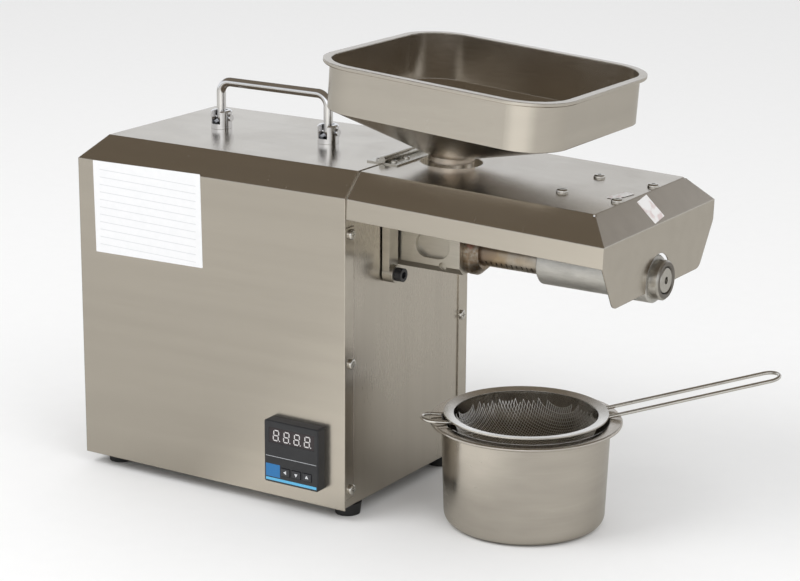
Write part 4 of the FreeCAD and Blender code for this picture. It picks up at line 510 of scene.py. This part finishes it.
near.inputs[1].default_value = (collar_low[0] + 0.004, collar_low[1] + 0.004, BARREL_AXIS[2] + 0.006)
ragged = sums(tree, "MULTIPLY_ADD", dab.outputs[0], 0.006, near.outputs["Value"])
tint = blend_colours(tree, stepped(tree, dab.outputs[0], 0.35, 0.65), base, (0.26, 0.19, 0.13))
tree.links.new(blend_colours(tree, stepped(tree, ragged, 0.0056, 0.0066, 0.55, 0.0), tint, (0.42, 0.13, 0.09)),
               shader.inputs["Base Color"])
paint(collar_metal, "lock_collar")
sleeve_metal = metal("sleeve_metal", (0.74, 0.73, 0.70), 0.50, brushed((0.25, 1.0, 1.0), 500.0),
                     relief=0.45, contrast=0.16, smudge=0.14)[0]
paint(sleeve_metal, "heater_sleeve")
nut_metal, tree, shader, base = metal("nut_metal", (0.56, 0.54, 0.50), 0.30, lathed(BARREL_AXIS, FROM_X),
                                      relief=0.3, contrast=0.18)
radius = lathed(BARREL_AXIS, FROM_X)(tree)["Radius"]
nut_radius = (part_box("end_nut")[1][1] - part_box("end_nut")[0][1]) / 2
dark_face = sums(tree, "MULTIPLY", stepped(tree, radius, nut_radius * 0.50, nut_radius * 0.54),
                 stepped(tree, radius, nut_radius * 0.90, nut_radius * 0.93, 1.0, 0.0))
tree.links.new(blend_colours(tree, sums(tree, "MULTIPLY", dark_face, 0.72), base, (0.10, 0.085, 0.075)),
               shader.inputs["Base Color"])
paint(nut_metal, "end_nut")
paint(metal("screw_flight", (0.60, 0.585, 0.55), 0.26, lathed(BARREL_AXIS, FROM_X), relief=0.2)[0], "press_screw")

# -------------------------------------------------------------------- hinge
# Rolled stainless leaves on a plain pin, screwed to the casing and the cover.
paint(metal("hinge_leaf_metal", (0.66, 0.64, 0.59), 0.25, brushed((1.0, 0.03, 1.0)), rounding=0.0002)[0],
      "hinge_casing_leaf", "hinge_cover_leaf", "hinge_pin")

# ------------------------------------------------------------------- hopper
# Tray and funnel pressed from one stainless sheet, satin inside and out, with
# a rolled rim; the welded neck is tinted by its weld where it meets the cover.
hopper_low, hopper_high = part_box("hopper")
hopper_metal, tree, shader, base = metal("hopper_metal", (0.630, 0.592, 0.535), 0.21,
                                         brushed((0.12, 0.12, 1.0), 900.0), relief=0.03, contrast=0.04,
                                         rounding=0.0010)
place = tree.nodes.new("ShaderNodeTexCoord")
split = add(tree, "ShaderNodeSeparateXYZ", Vector=place.outputs["Object"])
cover_top = shell_high[2]
weld = sums(tree, "MULTIPLY", stepped(tree, split.outputs[2], cover_top + 0.0055, cover_top + 0.0085, 1.0, 0.0),
            stepped(tree, split.outputs[2], cover_top - 0.002, cover_top + 0.003, 0.35, 1.0))
cloud = add(tree, "ShaderNodeTexNoise", Vector=place.outputs["Object"], Scale=90.0, Detail=4.0)
tint = sums(tree, "MULTIPLY", weld, stepped(tree, cloud.outputs[0], 0.25, 0.6))
tree.links.new(blend_colours(tree, sums(tree, "MULTIPLY", tint, 0.45), base, (0.42, 0.28, 0.17)),
               shader.inputs["Base Color"])
paint(hopper_metal, "hopper")

# ------------------------------------------------------------------- pot
# Spun stainless pot with a turned-out rim, its wall brushed round.
pot_low, pot_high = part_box("pot")
pot_centre = ((pot_low[0] + pot_high[0]) / 2, (pot_low[1] + pot_high[1]) / 2, 0.0)
paint(metal("pot_metal", (0.66, 0.62, 0.565), 0.16, lathed(pot_centre), relief=0.05, contrast=0.06,
            smudge=0.12, rounding=0.0012)[0], "pot")

# ----------------------------------------------------------------- strainer
# A bowl of plain-woven stainless wire, folded over and crimped into a pressed
# ring; handle and resting loop are bent from bright wire and spot welded.
wire_metal = metal("wire_metal", (0.76, 0.74, 0.70), 0.17, brushed((1.0, 1.0, 1.0), 600.0), relief=0.04,
                   rounding=0.0004)[0]
paint(wire_metal, "strainer_rim", "strainer_handle", "strainer_loop")
bowl_low, bowl_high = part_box("strainer_bowl")
BOWL_CENTRE = Vector(((bowl_low[0] + bowl_high[0]) / 2, (bowl_low[1] + bowl_high[1]) / 2, bowl_high[2]))
BOWL_WALL = 0.0004
BOWL_RADIUS = (bowl_high[0] - bowl_low[0]) / 2 - BOWL_WALL
BOWL_DEPTH = bowl_high[2] - bowl_low[2] - BOWL_WALL
WIRE_THICK = 0.00034
MESH_STEP = 0.0017
WIRES = 2 * int(BOWL_RADIUS / MESH_STEP)


def weave_wires(name, along, phase):
    """One set of the woven wires: rows of a grid laid in the bowl, over and under."""
    bpy.ops.object.select_all(action="DESELECT")
    bpy.ops.mesh.primitive_grid_add(x_subdivisions=WIRES, y_subdivisions=WIRES, size=WIRES * MESH_STEP,
                                    location=(0, 0, 0))
    cloth = bpy.context.object
    cloth.name = name
    mesh = cloth.data
    bpy.ops.object.mode_set(mode="EDIT")
    bpy.ops.mesh.select_all(action="DESELECT")
    bpy.ops.mesh.select_mode(type="EDGE")
    bpy.ops.object.mode_set(mode="OBJECT")
    for edge in mesh.edges:
        first, second = (mesh.vertices[i].co for i in edge.vertices)
        runs_across = abs(first[along] - second[along]) < MESH_STEP / 2
        reach = max(first.xy.length, second.xy.length)
        edge.select = runs_across or reach > BOWL_RADIUS - 0.0002
    bpy.ops.object.mode_set(mode="EDIT")
    bpy.ops.mesh.delete(type="EDGE")
    bpy.ops.mesh.select_all(action="DESELECT")
    bpy.ops.object.mode_set(mode="OBJECT")
    used = {i for edge in mesh.edges for i in edge.vertices}
    for vertex in mesh.vertices:
        vertex.select = vertex.index not in used
    bpy.ops.object.mode_set(mode="EDIT")
    bpy.ops.mesh.select_mode(type="VERT")
    bpy.ops.object.mode_set(mode="OBJECT")
    for vertex in mesh.vertices:
        vertex.select = vertex.index not in used
    bpy.ops.object.mode_set(mode="EDIT")
    bpy.ops.mesh.delete(type="VERT")
    bpy.ops.object.mode_set(mode="OBJECT")
    for vertex in mesh.vertices:
        flat = vertex.co.xy
        column = round(flat.x / MESH_STEP + WIRES / 2)
        row = round(flat.y / MESH_STEP + WIRES / 2)
        rise = WIRE_THICK * 0.5 * (1 if (column + row + phase) % 2 else -1)
        share = min(1.0, flat.length / BOWL_RADIUS)
        sink = BOWL_DEPTH * math.sqrt(1.0 - share * share)
        outward = Vector((flat.x / BOWL_RADIUS ** 2, flat.y / BOWL_RADIUS ** 2, -sink / BOWL_DEPTH ** 2))
        vertex.co = Vector((flat.x, flat.y, -sink)) + outward.normalized() * rise
    select_only(cloth)
    bpy.ops.object.convert(target="CURVE")
    wires = bpy.context.object
    wires.data.bevel_depth = WIRE_THICK / 2
    wires.data.bevel_resolution = 0
    wires.data.use_fill_caps = True
    bpy.ops.object.convert(target="MESH")
    return bpy.context.object


bowl = join_pieces([weave_wires("warp", 0, 0), weave_wires("weft", 1, 1)], "strainer_weave")
bowl.location = BOWL_CENTRE
apply_place(bowl)
bpy.ops.object.shade_smooth_by_angle(angle=math.radians(50))
bowl.data.materials.clear()
bowl.data.materials.append(metal("woven_wire", (0.80, 0.78, 0.74), 0.30, brushed((1.0, 1.0, 1.0), 900.0),
                                 relief=0.03, rounding=0.0)[0])
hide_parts("strainer_bowl")
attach(bowl, "strainer")

# -------------------------------------------------------------- seal sticker
# A small white paper seal over the cover's front fold, here left blank, and
# the strip of it that stayed on the top when it was torn. Both are glued on
# and ride with the cover.
cover_low, cover_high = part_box("top_cover")
COVER_DROOP = math.radians(1.8)
FOLD_TILT = math.radians(45) + COVER_DROOP
SEALS = (
    ("seal_sticker", 0.0195, 0.0175, (cover_high[0] - 0.0083, -0.0010, cover_high[2] - 0.0147), FOLD_TILT, 8),
    ("seal_remnant", 0.0075, 0.0230, (cover_high[0] - 0.0262, -0.0120, cover_high[2] - 0.0054), COVER_DROOP, -9),
)
seal_paper, tree, shader = new_finish("seal_paper")
place = tree.nodes.new("ShaderNodeTexCoord")
fibres = add(tree, "ShaderNodeTexNoise", Vector=place.outputs["Object"], Scale=320.0, Detail=5.0)
torn = add(tree, "ShaderNodeTexNoise", Vector=place.outputs["Object"], Scale=150.0, Detail=4.0)
stock = blend_colours(tree, stepped(tree, torn.outputs[0], 0.50, 0.62), (0.80, 0.79, 0.78), (0.66, 0.56, 0.55))
tree.links.new(blend_colours(tree, sums(tree, "MULTIPLY", fibres.outputs[0], 0.2), stock, (0.55, 0.54, 0.53)),
               shader.inputs["Base Color"])
shader.inputs["Roughness"].default_value = 0.7
bumped(tree, shader, fibres.outputs[0], 0.2, 0.0002)
for name, down, across, centre, tilt, turn in SEALS:
    outward = Vector((math.sin(tilt), 0.0, math.cos(tilt)))
    facing = Matrix.Rotation(tilt, 4, "Y") @ Matrix.Rotation(math.radians(turn), 4, "Z")
    seal = plate(name, down, across, 0.00012, 0.0004, Vector(centre) + outward * 0.0001, facing.to_euler())
    seal.data.materials.append(seal_paper)
    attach(seal, "cover")

# --------------------------------------------------------------------- stage
# A plain pale floor, two soft lamps and a pale room whose ceiling is dark,
# which is what the folds of the sheet reflect. In reflections the floor shows
# a darker painted colour with a painted pool of window light on it.
bpy.ops.object.select_all(action="DESELECT")
bpy.ops.mesh.primitive_plane_add(size=16.0, location=(0, 0, -0.0002))
floor = bpy.context.object
floor.name = "floor"
floor_paper, tree, shader = new_finish("floor_paper")
place = tree.nodes.new("ShaderNodeTexCoord")
fibre = add(tree, "ShaderNodeTexNoise", Vector=place.outputs["Object"], Scale=60.0, Detail=4.0)
lit = blend_colours(tree, fibre.outputs[0], (0.88, 0.88, 0.88), (0.90, 0.90, 0.90))


def window_glow(tree, vector):
    """How bright the room looks by direction: a tall window behind the camera; the world shines it as light, the
    floor has it painted into its colour as seen in reflections.
    """
    split = add(tree, "ShaderNodeSeparateXYZ", Vector=vector)
    bearing = sums(tree, "ARCTAN2", split.outputs[1], split.outputs[0])
    away = sums(tree, "ABSOLUTE", sums(tree, "ADD", bearing, math.radians(72)), 0.0)
    return split, stepped(tree, away, math.radians(14), math.radians(40), 1.45, 0.92)


# Painted light: as seen in reflections the floor is painted a darker colour than the camera sees, with a painted
# pool of window light towards the window's bearing.
glow = window_glow(tree, place.outputs["Object"])[1]
tone = tree.nodes.new("ShaderNodeVectorMath")
tone.operation = "SCALE"
tone.inputs[0].default_value = (0.60, 0.585, 0.55)
tree.links.new(glow, tone.inputs["Scale"])
path = tree.nodes.new("ShaderNodeLightPath")
tree.links.new(blend_colours(tree, path.outputs["Is Glossy Ray"], lit, tone.outputs[0]),
               shader.inputs["Base Color"])
shader.inputs["Roughness"].default_value = 0.9
shader.inputs["Specular IOR Level"].default_value = 0.1
floor.data.materials.append(floor_paper)

world = bpy.data.worlds.new("room")
bpy.context.scene.world = world
world.use_nodes = True
tree = world.node_tree
tree.nodes.clear()
path = tree.nodes.new("ShaderNodeLightPath")
place = tree.nodes.new("ShaderNodeTexCoord")
split, glow = window_glow(tree, place.outputs["Generated"])
wall = tree.nodes.new("ShaderNodeVectorMath")
wall.operation = "SCALE"
wall.inputs[0].default_value = (0.95, 0.97, 1.00)
tree.links.new(glow, wall.inputs["Scale"])
ceiling = stepped(tree, split.outputs[2], 0.26, 0.50)
mirrored = blend_colours(tree, ceiling, wall.outputs[0], (0.17, 0.14, 0.105))
seen = blend_colours(tree, path.outputs["Is Glossy Ray"], (0.86, 0.86, 0.86), mirrored)
seen = blend_colours(tree, path.outputs["Is Camera Ray"], seen, (0.93, 0.93, 0.935))
backdrop = add(tree, "ShaderNodeBackground", Color=seen)
output = tree.nodes.new("ShaderNodeOutputWorld")
tree.links.new(backdrop.outputs[0], output.inputs[0])


def lamp(name, size, power, place, target, glossy):
    """A square soft lamp aimed at a point."""
    bpy.ops.object.light_add(type="AREA", location=place)
    made = bpy.context.object
    made.name = name
    made.data.size = size
    made.data.energy = power
    made.rotation_euler = (Vector(target) - Vector(place)).to_track_quat("-Z", "Y").to_euler()
    made.visible_glossy = glossy


lamp("key_lamp", 1.4, 24.0, (-0.9, -1.6, 2.1), (0.1, 0.0, 0.1), False)
lamp("fill_lamp", 1.8, 14.0, (2.2, -0.9, 1.6), (0.1, 0.0, 0.1), False)

# The camera stands to the operator's right and looks down a little.
camera_data = bpy.data.cameras.new("camera")
camera_data.lens = 107.109
camera_data.sensor_width = 36.0
camera_data.clip_start = 0.05
camera_data.clip_end = 60.0
camera = bpy.data.objects.new("camera", camera_data)
camera.location = (1.02543838, -1.44694114, 0.63170329)
camera.rotation_euler = Euler([math.radians(a) for a in (74.47044, -0.37987, 32.41343)])
bpy.context.scene.collection.objects.link(camera)
bpy.context.scene.camera = camera
bpy.context.scene.view_settings.view_transform = "Standard"
